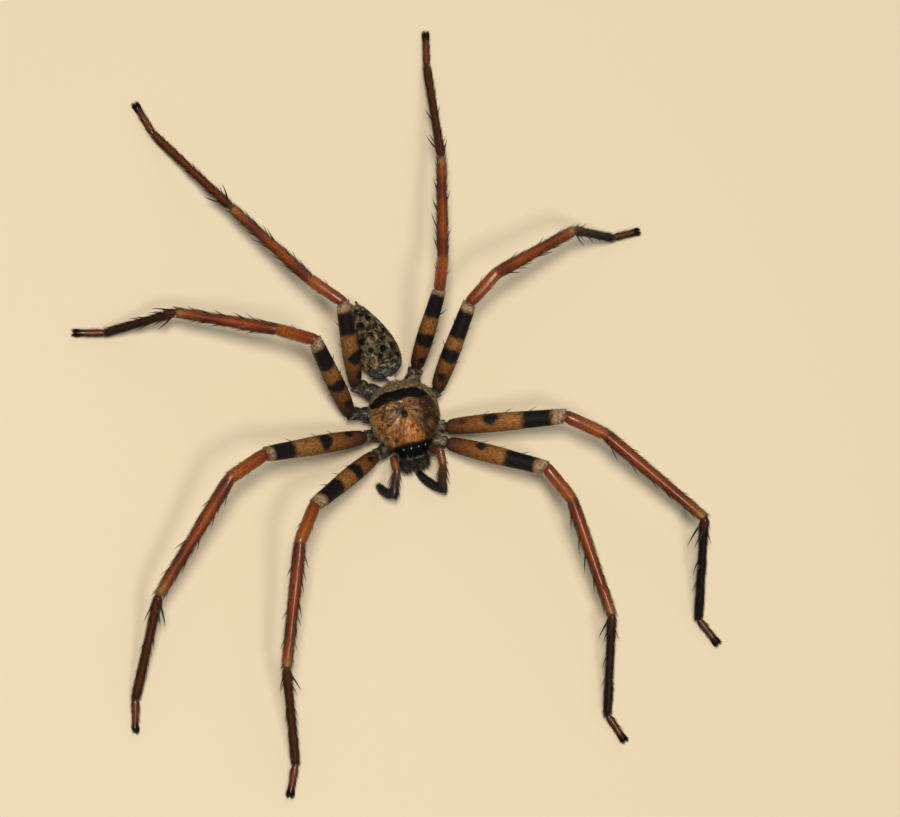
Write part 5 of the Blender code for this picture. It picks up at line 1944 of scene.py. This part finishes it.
# %% Spinnerets
# Each pair as (distance from the middle, height, length, half width).
SPINNERETS = ((0.55, -0.35, 2.3, 0.4), (0.5, 0.5, 2.0, 0.32), (0.22, 0.1, 1.7, 0.26))
CONE_RINGS, CONE_SIDES = 16, 20
forward = heading(ABDOMEN_HEADING)
side, up = axes_of(forward)
tip = np.array(ABDOMEN_FRONT) + forward * ABDOMEN_ROWS[-2][0] + np.array(BODY_PLACE)
for index, (offset, height, length, half) in enumerate(SPINNERETS):
    for hand, mark in ((1, "L"), (-1, "R")):
        start = tip + side * hand * offset + up * height
        aim = unit(forward + side * hand * 0.12 - up * 0.1)
        a, b = axes_of(aim)
        turn = np.linspace(0, 2 * np.pi, CONE_SIDES, endpoint=False)
        rings = []
        for share in np.linspace(0, 1, CONE_RINGS):
            wide = half * (1 - 0.45 * share) * (0.4 + 0.6 * float(smooth((1 - share) / 0.12)))
            around = a * np.cos(turn)[:, None] + b * np.sin(turn)[:, None]
            rings.append(start + aim * length * share + around * wide)
        zero = np.zeros((CONE_RINGS, CONE_SIDES))
        fields = {"spots": zero - 2, "nose": zero}
        cone_mesh = loft(f"spinneret_{index}_{mark}", rings, fields)
        add_piece(f"spinneret_{index}_{mark}", cone_mesh, abdomen_felt)
print("spinnerets:", len(SPINNERETS) * 2)

# %% [markdown]
# ## Floor and light
#
# The spider stands on a plain pale floor. The key lamp hangs high, near the line from the camera,
# so the shadows lie close under the legs, as with a flash. A weaker lamp over the head end draws
# the long glints on the shins, and a broad one behind opens the shadows. The world around is a
# soft grey, so the model reads well from every side.

# %% Stage
floor_mesh = bpy.data.meshes.new("floor")
# Half the side of the floor, in metres.
FLOOR_HALF = 1.6
corners = [(-1, -1), (1, -1), (1, 1), (-1, 1)]
floor_mesh.from_pydata([(x * FLOOR_HALF, y * FLOOR_HALF, 0.0) for x, y in corners], [], [(0, 1, 2, 3)])
floor = bpy.data.objects.new("floor", floor_mesh)
bpy.context.scene.collection.objects.link(floor)
# Matt painted board.
floor_paint, tree, shader = new_material("matt_floor_paint", roughness=0.9)
shader.inputs["Base Color"].default_value = linear("E2D2B4")
floor_mesh.materials.append(floor_paint)
floor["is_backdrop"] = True


def area_lamp(name, place, aim, size, power, colour):
    """A soft square lamp at a place, aimed at a point."""
    data = bpy.data.lights.new(name, "AREA")
    data.shape = "SQUARE"
    data.size = size
    data.energy = power
    data.color = linear(colour)[:3]
    lamp = bpy.data.objects.new(name, data)
    lamp.location = place
    towards = Vector(aim) - Vector(place)
    lamp.rotation_mode = "QUATERNION"
    lamp.rotation_quaternion = towards.to_track_quat("-Z", "Y")
    bpy.context.scene.collection.objects.link(lamp)


# Place and aim in metres, side in metres, power in watts, and colour.
area_lamp("key_lamp", (-0.2, 0.06, 1.4), (0.0, 0.0, 0.0), 0.32, 15.0, "FFF8EE")
area_lamp("glint_lamp", (0.1, -0.6, 1.4), (0.0, 0.0, 0.0), 0.3, 5.5, "FFFDF8")
area_lamp("fill_lamp", (0.7, 1.0, 1.0), (0.0, 0.0, 0.0), 1.0, 2.0, "E8F0FF")
world = bpy.data.worlds.new("studio")
bpy.context.scene.world = world
world.use_nodes = True
world.node_tree.nodes["Background"].inputs["Color"].default_value = linear("C9C9C6")
world.node_tree.nodes["Background"].inputs["Strength"].default_value = 0.22
bpy.context.scene.view_settings.view_transform = "Standard"
print("stage is set")

# %% [markdown]
# ## Size
#
# The dressed spider must not outgrow its solids, so both boxes are printed.

# %% Both sizes
skin_low, skin_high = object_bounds()
for label, low, high in (("solids", cad_low, cad_high), ("dressed", skin_low, skin_high)):
    print(label, [round(v / MM, 2) for v in low], [round(v / MM, 2) for v in high])
